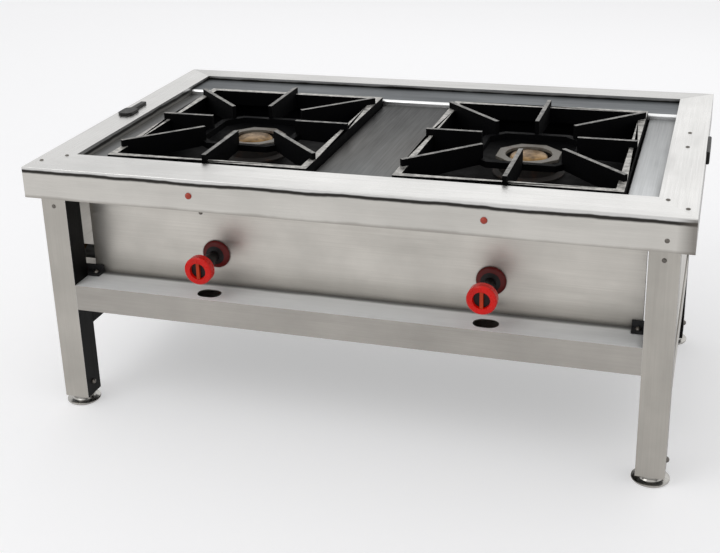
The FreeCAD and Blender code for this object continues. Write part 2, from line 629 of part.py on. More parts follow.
def build_rails():
    """The deep front rail, the rear rail and the two lower side rails."""
    across = f"(-{LEG_INNER})"
    front = square_tube(
        "front_rail", "X", (LEG_FRONT, PANEL), (RAIL_BOTTOM, RAIL_TOP), across, LEG_INNER)
    slot_y = f"(({LEG_FRONT} + {PANEL}) / 2 - dims.slot_forward)"
    half_flat = "((dims.slot_length - dims.slot_width) / 2)"
    low, high = f"({RAIL_TOP} - 10)", f"({RAIL_TOP} + 10)"
    for _, sense in SIDES:
        centre = mirrored(sense, KNOB)
        flat = rectangle(
            f"({centre} - {half_flat})", f"({centre} + {half_flat})",
            f"({slot_y} - dims.slot_width / 2)", f"({slot_y} + dims.slot_width / 2)")
        extrude(front, "Pocket", "Z", [flat], low, high)
        for end in (-1, 1):
            rounded = (f"({centre} + {end} * {half_flat})", slot_y, "(dims.slot_width / 2)")
            extrude(front, "Pocket", "Z", [], low, high, [rounded])
        bolt = (mirrored(sense, BRACKET_BOLT_X), BRACKET_BOLT_Y, BOLT_HOLE)
        extrude(front, "Pocket", "Z", [], low, high, [bolt])
    square_tube(
        "rear_rail", "X", (LEG_REAR, LEG_REAR_BACK), (RAIL_BOTTOM, RAIL_TOP), across, LEG_INNER)
    side_low = f"({RAIL_BOTTOM} - dims.side_rail_section)"
    for name, sense in SIDES:
        limits = leg_limits(sense)
        square_tube(
            f"side_rail_{name}", "Y", limits, (side_low, RAIL_BOTTOM), LEG_FRONT_BACK, LEG_REAR)


def build_panels():
    """The front panel with its folded ends, the rear panel and the side panels."""
    end, sheet = f"({LEG_INNER} - dims.panel_end_gap)", "dims.rim_sheet"
    back = f"({PANEL} + dims.panel_fold)"
    section = [
        (f"(-{end})", PANEL), (end, PANEL), (end, back), (f"({end} - {sheet})", back),
        (f"({end} - {sheet})", PANEL_BACK), (f"(-{end} + {sheet})", PANEL_BACK),
        (f"(-{end} + {sheet})", back), (f"(-{end})", back),
    ]
    front = prism("front_panel", "Z", section, RAIL_BOTTOM, DECK_UNDER)
    holes = [(mirrored(sense, KNOB), KNOB_LEVEL, "(dims.spindle_radius + 2)") for _, sense in SIDES]
    holes.append((*PANEL_SCREW, SCREW_HOLE))
    extrude(front, "Pocket", "Y", [], f"({PANEL} - 5)", f"({PANEL} + 5)", holes)
    # The folded ends stop under the fold of the front strip.
    notch = rectangle(f"(-{end} - 5)", f"({end} + 5)", PANEL_BACK, f"({back} + 5)")
    extrude(front, "Pocket", "Z", [notch], f"({DECK} - dims.fold_drop - 2)", f"({DECK_UNDER} + 5)")
    rear_face = f"({LEG_REAR_BACK} - dims.side_panel_inset)"
    rear = rectangle(f"(-{LEG_INNER})", LEG_INNER, f"({rear_face} - {sheet})", rear_face)
    prism("rear_panel", "Z", rear, RAIL_TOP, PANEL_TOP)
    for name, sense in SIDES:
        inner, outer = f"({SIDE_PANEL} - {sheet})", SIDE_PANEL
        faces = [mirrored(sense, inner), mirrored(sense, outer)]
        if sense < 0:
            faces.reverse()
        outline = rectangle(*faces, LEG_FRONT_BACK, LEG_REAR)
        side = prism(f"side_panel_{name}", "Z", outline, RAIL_BOTTOM, PANEL_TOP)
        if sense < 0:
            inlet = (MANIFOLD_Y, MANIFOLD_LEVEL, "(dims.manifold_radius + dims.seat_gap)")
            extrude(side, "Pocket", "X", [], f"({faces[0]} - 5)", f"({faces[1]} + 5)", [inlet])


def build_rail_brackets():
    """An angle at each end of the front rail, standing on it against the panel."""
    reach, sheet = "dims.bracket_reach", "dims.bracket_sheet"
    behind_leg = "(dims.leg_section / 3)"
    crown, upper = f"({RAIL_TOP} + dims.bracket_height)", f"({RAIL_TOP} + {sheet})"
    inner_face = f"({PANEL} - {sheet})"
    pieces = []
    for name, sense in SIDES:
        angle = [
            (LEG_FRONT_BACK, RAIL_TOP), (PANEL, RAIL_TOP), (PANEL, crown),
            (inner_face, crown), (inner_face, upper), (LEG_FRONT_BACK, upper),
        ]
        ends = [f"({LEG_INNER} - {reach})", f"({LEG_INNER} + {behind_leg})"]
        ends = [mirrored(sense, end) for end in ends]
        if sense < 0:
            ends.reverse()
        body = prism(f"rail_bracket_{name}", "X", angle, *ends)
        bolt = (mirrored(sense, BRACKET_BOLT_X), BRACKET_BOLT_Y, BOLT_HOLE)
        extrude(body, "Pocket", "Z", [], f"({RAIL_TOP} - 5)", f"({RAIL_TOP} + 10)", [bolt])
        pieces.append(body)
    group("rail_brackets", pieces)


# ---------------------------------------------------------------- the burners

def build_burner(name, sense):
    """A cast body with a cup, a throat and a mixing tube that points at its injector."""
    body = new_body(f"burner_body_{name}")
    cup, throat = "dims.burner_cup_radius", "dims.throat_radius"
    cup_inside = f"({cup} - dims.burner_cup_wall)"
    throat_inside = f"({throat} - dims.throat_wall)"
    flange = "dims.burner_flange_radius"
    bottom = "(dims.knob_height - dims.tube_radius - dims.throat_wall)"
    outside = [
        ("0", bottom), (f"({throat} - 4)", bottom), (throat, f"({bottom} + 4)"),
        (throat, PAN_FLOOR), (flange, PAN_FLOOR), (flange, f"({PAN_FLOOR} + 3)"),
        (cup, f"({PAN_FLOOR} + 7)"), (cup, CUP_TOP), ("0", CUP_TOP),
    ]
    spin(body, "Revolution", outside)
    ahead = f"({WELL_MIDDLE} - {VALVE_BACK} - dims.injector_length - dims.tube_mouth_gap)"
    aside = f"({BURNER} - {KNOB})"
    angle = f"({-sense} * atan({aside} / {ahead}))"
    length = f"sqrt({ahead} ^ 2 + {aside} ^ 2)"
    tube_inside = "(dims.tube_radius - dims.tube_wall)"
    for kind, radius in (("Pad", "dims.tube_radius"), ("Pocket", tube_inside)):
        sketch = new_sketch(body, "Y", "0", angle)
        draw_circle(sketch, "0", KNOB_LEVEL, radius)
        feature = body.newObject("PartDesign::" + kind, f"{body.Name}_tube")
        feature.Profile = sketch
        feature.Reversed = kind == "Pocket"
        feature.setExpression("Length", length)
        doc.recompute()
    throat_floor = f"({bottom} + dims.throat_wall)"
    inside = [
        ("0", throat_floor), (throat_inside, throat_floor), (throat_inside, CUP_FLOOR),
        (cup_inside, CUP_FLOOR), (cup_inside, f"({CUP_TOP} + 1)"), ("0", f"({CUP_TOP} + 1)"),
    ]
    spin(body, "Groove", inside)
    place(body, mirrored(sense, BURNER), WELL_MIDDLE)
    ring = new_body(f"burner_ring_{name}")
    bore = ("0", "0", "dims.ring_bore_radius")
    octagon = cut_square("dims.ring_across", f"(dims.ring_across * {1 - math.sqrt(0.5):.9f})")
    extrude(ring, "Pad", "Z", [octagon], CUP_TOP, BURNER_TOP, [bore])
    place(ring, mirrored(sense, BURNER), WELL_MIDDLE)


def build_burner_cap(name, sense):
    """A hollow brass cap with gas ports, seated over the throat. It lifts off."""
    body = new_body(f"burner_cap_{name}")
    seat = f"({CUP_FLOOR} + dims.seat_gap)"
    wall, radius = "dims.cap_wall", "dims.cap_radius"
    spigot = "(dims.throat_radius - dims.throat_wall - dims.seat_gap)"
    top = f"({BURNER_TOP} + 1)"
    inside, inner_spigot = f"({radius} - {wall})", f"({spigot} - {wall})"
    under = f"({top} - {wall})"
    outline = [
        (inner_spigot, f"({seat} - 8)"), (spigot, f"({seat} - 8)"), (spigot, seat), (radius, seat),
        (radius, f"({top} - 7)"), (f"({radius} - 4)", f"({top} - 3)"),
        (f"({radius} / 2)", f"({top} - 0.6)"), ("0", top),
        ("0", under), (f"({radius} / 2)", f"({under} - 0.6)"),
        (f"({inside} - 2)", f"({under} - 3)"), (inside, f"({under} - 6)"),
        (inside, f"({seat} + 4)"), (inner_spigot, f"({seat} + 4)"),
    ]
    spin(body, "Revolution", outline)
    port = ("0", f"({seat} + 9)", "dims.cap_port_radius")
    sketch = new_sketch(body, "Y", f"(-{radius})")
    draw_circle(sketch, *port)
    hole = body.newObject("PartDesign::Pocket", f"{body.Name}_port")
    hole.Profile = sketch
    hole.setExpression("Length", f"{wall} + 3")
    doc.recompute()
    pattern = body.newObject("PartDesign::PolarPattern", f"{body.Name}_ports")
    pattern.Originals = [hole]
    upright = [item for item in body.Origin.OriginFeatures if item.Role == "Z_Axis"][0]
    pattern.Axis = (upright, [""])
    pattern.Angle = 360
    pattern.setExpression("Occurrences", "dims.cap_port_count")
    body.Tip = pattern
    doc.recompute()
    place(body, mirrored(sense, BURNER), WELL_MIDDLE)


# ---------------------------------------------------------------- the pan supports

def build_pan_support(name, sense):
    """A cast frame with an eight-sided ring in the middle and fins that carry the pot."""
    body = new_body(f"pan_support_{name}")
    half_x = f"({HALF_WELL} - dims.support_gap)"
    half_y = f"({HALF_DEPTH} - dims.support_gap)"
    bar, gap = "dims.support_bar_width", "dims.seat_gap"
    top = "(dims.rim_height - dims.support_drop)"
    bottom = f"({top} - dims.support_frame_height)"
    hub_top = "(dims.rim_height - dims.hub_drop)"
    hub_bottom = f"({hub_top} - dims.hub_height)"
    outside = rectangle(f"(-{half_x})", half_x, f"(-{half_y})", half_y)
    hollow_x, hollow_y = f"({half_x} - {bar})", f"({half_y} - {bar})"
    inside = rectangle(f"(-{hollow_x})", hollow_x, f"(-{hollow_y})", hollow_y)
    extrude(body, "Pad", "Z", [outside, inside], bottom, top)
    thick, crown = "dims.fin_thickness", f"({RIM_TOP} + dims.fin_rise)"
    for number in range(round(size("dims.fin_count"))):
        # A fin runs out to the outer face of the frame, less what its own thickness needs.
        turned = f"({number} * 360 deg / dims.fin_count)"
        cosine, sine = f"max(abs(cos({turned})); 0.001)", f"max(abs(sin({turned})); 0.001)"
        to_side = f"(({half_x} - {thick} / 2 * {sine}) / {cosine})"
        to_end = f"(({half_y} - {thick} / 2 * {cosine}) / {sine})"
        reach = f"min({to_side}; {to_end})"
        # Its inner end lies over the ring, whose outer face is a side or a cut corner.
        face = f"(dims.hub_across / 2 / max({cosine}; {sine}))"
        corner = f"((dims.hub_across - dims.hub_corner) / ({cosine} + {sine}))"
        inner = f"(min({face}; {corner}) - dims.fin_lap)"
        fin = [
            (inner, hub_bottom), (f"({inner} + dims.hub_bar)", hub_bottom),
            (f"({reach} - {bar})", bottom), (reach, bottom), (reach, crown), (inner, crown),
        ]
        extrude(body, "Pad", "Y", [fin], f"(-{thick} / 2)", f"({thick} / 2)", about=turned)
    ring = cut_square("dims.hub_across", "dims.hub_corner")
    corner_inside = f"(dims.hub_corner - dims.hub_bar * {2 - math.sqrt(2):.9f})"
    hollow = cut_square("(dims.hub_across - 2 * dims.hub_bar)", corner_inside)
    extrude(body, "Pad", "Z", [ring, hollow], hub_bottom, hub_top)
    for sign_x in (-1, 1):
        for sign_y in (-1, 1):
            xs = [f"({sign_x} * {half_x})", f"({sign_x} * ({half_x} - {bar}))"]
            ys = [f"({sign_y} * {half_y})", f"({sign_y} * ({half_y} - {bar}))"]
            post = rectangle(*sorted(xs, key=size), *sorted(ys, key=size))
            extrude(body, "Pad", "Z", [post], f"({PAN_FLOOR} + {gap})", f"({bottom} + 1)")
    place(body, mirrored(sense, BURNER), WELL_MIDDLE)


# ---------------------------------------------------------------- the gas train

def face_front(body, sense):
    """Turn a piece so that its own Z leaves the front panel at a knob's axis."""
    aim(body, 0, -1, 0)
    place(body, mirrored(sense, KNOB), PANEL, KNOB_LEVEL)


def build_knob(name, sense):
    """A red knob: wide head, narrow waist, and a recessed face with a bar across it."""
    body = new_body(f"knob_{name}")
    face, head = "dims.knob_reach", "(dims.knob_reach - dims.knob_head)"
    rear = "(dims.knob_reach - dims.knob_length)"
    radius, waist, recess = "dims.knob_face_radius", "dims.knob_waist_radius", "dims.knob_recess_radius"
    spindle, floor = "dims.spindle_radius", f"({face} - dims.knob_recess)"
    outline = [
        (spindle, rear), (f"({waist} - 2)", rear), (waist, f"({rear} + 2)"), (waist, f"({head} - 4)"),
        (f"({radius} - 2)", head), (radius, f"({head} + 2)"), (radius, f"({face} - 2.5)"),
        (f"({radius} - 2.5)", face), (f"({recess} + 1)", face), (recess, floor), ("0", floor),
        ("0", f"({floor} - 3)"), (spindle, f"({floor} - 3)"),
    ]
    spin(body, "Revolution", outline)
    half = "(dims.knob_grip / 2)"
    long_half = f"({recess} + 0.4)"
    bar = rectangle(f"(-{half})", half, f"(-{long_half})", long_half)
    extrude(body, "Pad", "Z", [bar], f"({floor} - 1)", f"({face} - 1)")
    face_front(body, sense)


def build_spindle(name, sense):
    body = new_body(f"valve_spindle_{name}")
    radius = "dims.spindle_radius"
    end = "(dims.knob_reach - dims.knob_recess - 3)"
    start = "(-dims.rim_sheet - dims.valve_length / 2)"
    outline = [("0", start), (radius, start), (radius, end), ("0", end)]
    spin(body, "Revolution", outline)
    face_front(body, sense)


def build_bezel(name, sense):
    """A dark round bezel on the panel, with a sleeve round the spindle."""
    body = new_body(f"knob_bezel_{name}")
    radius, height = "dims.bezel_radius", "dims.bezel_height"
    sleeve, bore = "dims.bezel_sleeve_radius", "(dims.spindle_radius + dims.seat_gap)"
    end = "(dims.knob_reach - dims.knob_length - 0.5)"
    outline = [
        (bore, "0"), (radius, "0"), (radius, f"({height} / 3)"),
        (f"({radius} - 3)", f"({height} * 0.75)"), (f"({radius} - 9)", height),
        (sleeve, f"({height} + 2)"), (sleeve, end), (bore, end),
    ]
    spin(body, "Revolution", outline)
    face_front(body, sense)


def build_valve(name, sense):
    """A brass valve behind the panel, with a stub down into the manifold."""
    body = new_body(f"gas_valve_{name}")
    front, radius = "(-dims.rim_sheet)", "dims.valve_radius"
    back = f"({front} - dims.valve_length)"
    bore = "(dims.spindle_radius + dims.thread_gap)"
    seat = f"({front} - dims.valve_length / 2 - 1)"
    outline = [
        (bore, front), (radius, front), (radius, f"({back} + 14)"), (f"({radius} - 3)", f"({back} + 10)"),
        (f"({radius} - 3)", back), ("dims.injector_bore_radius * 2.5", back),
        ("dims.injector_bore_radius * 2.5", seat), (bore, seat),
    ]
    spin(body, "Revolution", outline)
    stub = ("0", f"({front} - dims.valve_length / 2)", "dims.valve_stub_radius")
    low = "(-dims.manifold_drop + dims.manifold_radius - dims.manifold_wall + 0.6)"
    extrude(body, "Pad", "Y", [], low, "(-dims.spindle_radius - 3)", [stub])
    face_front(body, sense)
    injector = new_body(f"injector_{name}")
    tip = f"({back} - dims.injector_length)"
    waist = f"({back} - dims.injector_length / 2)"
    jet, width = "dims.injector_bore_radius", "dims.injector_radius"
    narrow = f"({width} * 0.6)"
    nozzle = [
        (jet, back), (width, back), (width, waist), (narrow, f"({waist} - 1)"),
        (narrow, f"({tip} + 3)"), (f"({jet} + 1.5)", tip), (jet, tip),
    ]
    spin(injector, "Revolution", nozzle)
    face_front(injector, sense)


def build_manifold():
    """The pipe that feeds both valves, its cap, its inlet nipple and its clips."""
    radius, inside = "dims.manifold_radius", "(dims.manifold_radius - dims.manifold_wall)"
    left = f"(-{SIDE_PANEL} + dims.rim_sheet + dims.inlet_inset)"
    right = f"({KNOB} + dims.manifold_overhang)"
    pipe = new_body("gas_manifold")
    circles = [(MANIFOLD_Y, MANIFOLD_LEVEL, radius), (MANIFOLD_Y, MANIFOLD_LEVEL, inside)]
    extrude(pipe, "Pad", "X", [], left, right, circles)
    stubs = [(mirrored(sense, KNOB), MANIFOLD_Y, "dims.valve_stub_radius") for _, sense in SIDES]
    extrude(pipe, "Pocket", "Z", [], MANIFOLD_LEVEL, f"({MANIFOLD_LEVEL} + 20)", stubs)
    cap = new_body("manifold_cap")
    cap_outline = [
        ("0", "-8"), (f"({radius} + 1)", "-8"), (f"({radius} + 2)", "-7"), (f"({radius} + 2)", "0"),
        (inside, "0"), (inside, "10"), ("0", "10"),
    ]
    spin(cap, "Revolution", cap_outline)
    aim(cap, -1, 0, 0)
    place(cap, right, MANIFOLD_Y, MANIFOLD_LEVEL)
    # The nipple's thick part runs through the left panel, and its thread stands outside.
    nipple = new_body("gas_inlet_nipple")
    bore, thread = "dims.nipple_bore_radius", "dims.nipple_radius"
    end = f"({left} + {INLET_END})"
    shoulder = f"({end} - dims.nipple_length)"
    nipple_outline = [
        (bore, "0"), (radius, "0"), (radius, shoulder), (thread, shoulder), (thread, end), (bore, end),
    ]
    spin(nipple, "Revolution", nipple_outline)
    aim(nipple, -1, 0, 0)
    place(nipple, left, MANIFOLD_Y, MANIFOLD_LEVEL)
    group("manifold_clips", [build_clip(sense) for _, sense in SIDES])


def build_clip(sense):
    """A strap round the manifold, with two arms to the front panel."""
    centre = mirrored(sense, f"({KNOB} / 2)")
    shapes = []
    for radius in ("(dims.manifold_radius + dims.clip_sheet)", "dims.manifold_radius"):
        arms = doc.addObject("Part::Box", "clip_arms")
        arms.setExpression("Length", "dims.clip_width")
        arms.setExpression("Width", f"{MANIFOLD_Y} - {PANEL_BACK}")
        arms.setExpression("Height", f"2 * {radius}")
        place(arms, f"({centre} - dims.clip_width / 2)", PANEL_BACK, f"({MANIFOLD_LEVEL} - {radius})")
        loop = doc.addObject("Part::Cylinder", "clip_loop")
        loop.setExpression("Radius", radius)
        loop.setExpression("Height", "dims.clip_width")
        aim(loop, 1, 0, 0)
        place(loop, f"({centre} - dims.clip_width / 2)", MANIFOLD_Y, MANIFOLD_LEVEL)
        both = doc.addObject("Part::MultiFuse", "clip_shape")
        both.Shapes = [arms, loop]
        shapes.append(both)
    strap = doc.addObject("Part::Cut", "clip_strap")
    strap.Base, strap.Tool = shapes
    return strap


# ---------------------------------------------------------------- grips, studs and screws

def build_grips():
    """A dark bar on the right edge of the rim, and a dark catch on its left side."""
    low = f"({FRONT} + dims.grip_centre - dims.grip_length / 2)"
    high = f"({low} + dims.grip_length)"
    edge, outer = HALF_WIDTH, f"({HALF_WIDTH} + dims.grip_thickness)"
    foot = f"({RIM_TOP} - dims.grip_drop)"
    section = [
        (edge, foot), (f"({outer} - 2)", foot), (outer, f"({foot} + 2)"),
        (outer, f"({RIM_TOP} - 2)"), (f"({outer} - 2)", RIM_TOP), (edge, RIM_TOP),
    ]
    prism("side_grip_right", "Y", section, low, high)
    start = f"({FRONT} + dims.catch_front)"
    neck, end = f"({start} + dims.catch_head_length)", f"({start} + dims.catch_length)"
    width, arm = "dims.catch_head_width", "dims.catch_arm_width"
    outside = f"(-{HALF_WIDTH} + dims.catch_inset)"
    inside = f"({outside} + {width})"
    arm_out = f"({outside} + ({width} - {arm}) / 2)"
    arm_in = f"({arm_out} + {arm})"
    slope = f"({width} / 4)"
    catch = [
        (f"({outside} + {slope})", start), (f"({inside} - {slope})", start),
        (inside, f"({start} + {slope})"), (inside, f"({neck} - {slope})"),
        (arm_in, neck), (arm_in, end), (arm_out, end), (arm_out, neck),
        (outside, f"({neck} - {slope})"), (outside, f"({start} + {slope})"),
    ]
    prism("side_grip_left", "Z", catch, RIM_TOP, f"({RIM_TOP} + dims.catch_thickness)")


def build_nut_strip():
    """A strip under the right side of the rim, which takes the two screws beside the bar."""
    edge = f"({HALF_WIDTH} - dims.rim_sheet)"
    along = (f"({FRONT} + dims.grip_screw_front - 20)", f"({FRONT} + dims.grip_screw_rear + 20)")
    lowest = f"({RIM_UNDER} - dims.nut_strip_sheet)"
    strip = new_body("nut_strip")
    holes = [
        (f"({HALF_WIDTH} - {inward})", f"({FRONT} + {behind})", "dims.screw_radius")
        for behind, inward in GRIP_SCREWS]
    outline = rectangle(f"({edge} - dims.nut_strip_width)", edge, *along)
    extrude(strip, "Pad", "Z", [outline], lowest, RIM_UNDER, holes)


POINTING = {"up": (0, 0, 1), "front": (0, -1, 0), "right": (1, 0, 0)}


def fastener(x, y, z, pointing, shank, length, head, height):
    """A domed head that stands on a surface, with a shank through it."""
    away = POINTING[pointing]
    dome = doc.addObject("Part::Ellipsoid", "fastener_head")
    dome.Angle1 = 0
    dome.setExpression("Radius1", height)
    dome.setExpression("Radius2", head)
    dome.setExpression("Radius3", head)
    aim(dome, *away)
    place(dome, x, y, z)
    pin = doc.addObject("Part::Cylinder", "fastener_shank")
    pin.setExpression("Radius", shank)
    pin.setExpression("Height", length)
    aim(pin, *away)
    back = [f"({start} - {step} * {length})" for start, step in zip((x, y, z), away)]
    place(pin, *back)
    whole = doc.addObject("Part::MultiFuse", "fastener")
    whole.Shapes = [dome, pin]
    return whole


def small_screw(x, y, z, pointing):
    return fastener(
        x, y, z, pointing, "dims.screw_radius", "dims.screw_length",
        "dims.screw_head_radius", "dims.screw_head_height")


def build_fasteners():
    screws = []
    for _, sense in SIDES:
        for behind, inward in SIDE_SCREWS[sense]:
            x = mirrored(sense, f"({HALF_WIDTH} - {inward})")
            screws.append(small_screw(x, f"({FRONT} + {behind})", RIM_TOP, "up"))
        screws.append(small_screw(mirrored(sense, LEG_MIDDLE), LEG_FRONT, LEG_SCREW_LEVEL, "front"))
    screws.append(small_screw(APRON_SCREW[0], FRONT, APRON_SCREW[1], "front"))
    screws.append(small_screw(PANEL_SCREW[0], PANEL, PANEL_SCREW[1], "front"))
    group("small_screws", screws)
    bolts = []
    bolt_sizes = ("dims.lock_bolt_head_radius", "dims.lock_bolt_head_height")
    lock_length = "(dims.leg_section / 2 - dims.foot_stud_radius - 0.5)"
    for _, sense, y, _ in LEGS:
        right_face = leg_limits(sense)[1]
        bolts.append(fastener(
            right_face, f"({y} + dims.leg_section / 2)", "dims.lock_bolt_level", "right",
            "dims.lock_bolt_radius", lock_length, *bolt_sizes))
    for _, sense in SIDES:
        bolts.append(fastener(
            mirrored(sense, BRACKET_BOLT_X), BRACKET_BOLT_Y, f"({RAIL_TOP} + dims.bracket_sheet)", "up",
            "dims.lock_bolt_radius", "(dims.bracket_sheet + 8)", *bolt_sizes))
    group("bolts", bolts)
    studs = [
        fastener(
            x, FRONT, STUD_LEVEL, "front",
            "dims.screw_radius", "dims.screw_length", "dims.stud_radius", "dims.stud_height")
        for x in STUDS]
    group("apron_studs", studs)


# ---------------------------------------------------------------- the whole object

build_rim()
build_deck()
build_support_bars()
build_legs()
build_rails()
build_panels()
build_rail_brackets()
for name, sense in SIDES:
    build_spill_pan(name, sense)
    build_burner(name, sense)
    build_burner_cap(name, sense)
    build_pan_support(name, sense)
    build_knob(name, sense)
    build_spindle(name, sense)
    build_bezel(name, sense)
    build_valve(name, sense)
build_manifold()
build_grips()
build_nut_strip()
build_fasteners()
doc.recompute()

# Bodies that belong to a group are written with it.
grouped = [piece for item in doc.Objects if item.TypeId == "Part::Compound" for piece in item.Links]
sub_parts = [
    item for item in doc.Objects
    if item.TypeId in ("PartDesign::Body", "Part::Compound") and item not in grouped]
for item in doc.Objects:
    if "Invalid" in item.State or "Error" in item.State:
        raise RuntimeError(f"{item.Name} failed: {item.State}")
for item in sub_parts:
    if item.Shape.isNull() or not item.Shape.isValid():
        raise RuntimeError(f"{item.Label} has no valid shape")
os.makedirs("parts", exist_ok=True)
for item in sub_parts:
    item.Shape.exportStep(f"parts/{item.Label}.step")
    print(item.Label, len(item.Shape.Solids), round(item.Shape.Volume))
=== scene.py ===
import json
import math

import bpy
from bpy.props import FloatProperty, FloatVectorProperty, PointerProperty
from mathutils import Euler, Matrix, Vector

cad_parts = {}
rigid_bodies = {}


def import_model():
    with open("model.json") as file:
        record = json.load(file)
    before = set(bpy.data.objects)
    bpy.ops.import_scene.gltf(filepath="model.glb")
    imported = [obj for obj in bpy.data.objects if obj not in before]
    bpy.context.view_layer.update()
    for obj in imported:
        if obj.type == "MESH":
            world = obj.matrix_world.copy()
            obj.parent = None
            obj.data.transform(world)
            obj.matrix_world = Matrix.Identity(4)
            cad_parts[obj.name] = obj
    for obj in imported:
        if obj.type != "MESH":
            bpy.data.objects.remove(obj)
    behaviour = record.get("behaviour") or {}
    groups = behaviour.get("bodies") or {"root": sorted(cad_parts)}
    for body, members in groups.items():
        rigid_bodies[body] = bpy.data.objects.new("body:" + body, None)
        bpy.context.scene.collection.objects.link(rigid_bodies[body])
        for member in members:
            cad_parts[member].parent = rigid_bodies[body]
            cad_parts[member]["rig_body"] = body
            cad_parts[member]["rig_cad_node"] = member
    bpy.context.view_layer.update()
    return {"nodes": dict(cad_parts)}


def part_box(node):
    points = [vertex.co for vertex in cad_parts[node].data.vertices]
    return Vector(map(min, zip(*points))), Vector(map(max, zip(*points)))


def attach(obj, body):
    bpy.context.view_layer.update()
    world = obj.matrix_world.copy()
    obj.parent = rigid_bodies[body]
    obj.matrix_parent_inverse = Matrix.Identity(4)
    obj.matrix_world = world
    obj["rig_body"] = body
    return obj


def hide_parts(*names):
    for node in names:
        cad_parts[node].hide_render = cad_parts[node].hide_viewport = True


bl_info = {
    "name": "Stock pot range",
    "version": (1, 0, 0),
    "blender": (4, 5, 0),
    "location": "3D View > Sidebar > Pot range",
    "description": "Finishes a low gas stock pot range in brushed steel, enamel, brass and red plastic",
    "category": "Object",
}

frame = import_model()
SIDES = (("left", -1), ("right", 1))
CORNERS = ("front_left", "front_right", "rear_left", "rear_right")
# Each member of the rim: its side, its grain, the axis that points outwards, and the outer end on it.
RIM_MEMBERS = (("front", "X", 1, 0), ("rear", "X", 1, 1), ("left", "Y", 0, 0), ("right", "Y", 0, 1))
MM = 0.001

# Points closer than this are one point, and a point this close to an edge lies on it.
MERGE_DISTANCE = 0.00002
TOUCHING = 0.00001
# Faces that meet at less than the first angle are one flat face, and at less than the second one curve.
FLAT_ANGLE = math.radians(2)
SHARP_ANGLE = math.radians(38)
FOLD_SEGMENTS = 3
TUBE_SEGMENTS = 3

# How far the edges of each kind of piece are rounded, in metres.
NO_ROUNDING = 0.0
SMALL_BRASS_EDGE = 0.0003
TURNED_EDGE = 0.0004
HEM_EDGE = 0.0004
SHEET_EDGE = 0.0005
PLATE_EDGE = 0.0006
BEZEL_EDGE = 0.0007
BURNER_EDGE = 0.0008
KNOB_EDGE = 0.0009
GRIP_EDGE = 0.001

# Places on a knob, in metres from its axis or behind its front face.
RECESS_RADIUS = 0.0146
RECESS_TOP = 0.0015
RECESS_FLOOR = 0.012
BAR_HALF_WIDTH = 0.0034
BAR_TOP = 0.0005
HEAD_BACK = 0.024
SLEEVE_RADIUS = 0.016

# The tops of a pan support's frame and fins lie more than the first of these above the burner cap, and
# its hub doesn't. The tops of the fins lie within the second of its highest point. Both are in metres.
FRAME_OVER_CAP = 0.012
FIN_TOP_DEPTH = 0.006

# How often each pattern repeats in a metre, with the real size that it comes from.
CLOUDS = 9.0  # handling marks and uneven polish, a hand's width across
SMEARS_ACROSS = 14.0  # wiping marks, 70 mm wide
SMEARS_ALONG = 2.5  # and 400 mm long
SPANGLE = 130.0  # crystals of the plating, 8 mm
PLATING_DIRT = 26.0  # dirt on the plating, 40 mm
ENAMEL_STAINS = 22.0  # boiled-over stains, 45 mm
RUBBED_PATCHES = 70.0  # patches rubbed by pots, 14 mm
PITS = 600.0  # pits in the iron, 1.7 mm
RUST = 48.0  # rust patches, 20 mm
TARNISH = 60.0  # tarnish patches, 17 mm
HANDLING = 140.0  # fine scratches, 7 mm
FADING = 34.0  # faded patches, 30 mm

# A brush line is this many times as long as the lines are apart.
STREAK_LENGTH = 90
# Enamel that is baked dull hardly mirrors the room, and phenolic plastic mirrors it softly.
ENAMEL_GLOSS = 0.06
PLASTIC_GLOSS = 0.25


def middle_of(node):
    low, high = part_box(node)
    return (low + high) / 2


BURNER = middle_of("burner_ring_right")
KNOB = middle_of("knob_bezel_right")


def linear(hex_colour):
    """The linear colour of an sRGB hex value."""
    parts = [int(hex_colour[place:place + 2], 16) / 255 for place in (1, 3, 5)]
    linear_parts = [part / 12.92 if part <= 0.04045 else ((part + 0.055) / 1.055) ** 2.4 for part in parts]
    return linear_parts + [1.0]


def colour_property(name, hex_colour, description):
    return FloatVectorProperty(
        name=name, description=description, subtype="COLOR", size=4, min=0, max=1,
        default=linear(hex_colour))


def length_property(name, millimetres, description):
    return FloatProperty(
        name=name, description=description, default=millimetres * MM, min=0, unit="LENGTH")


# ---------------------------------------------------------------- the sizes and colours to change

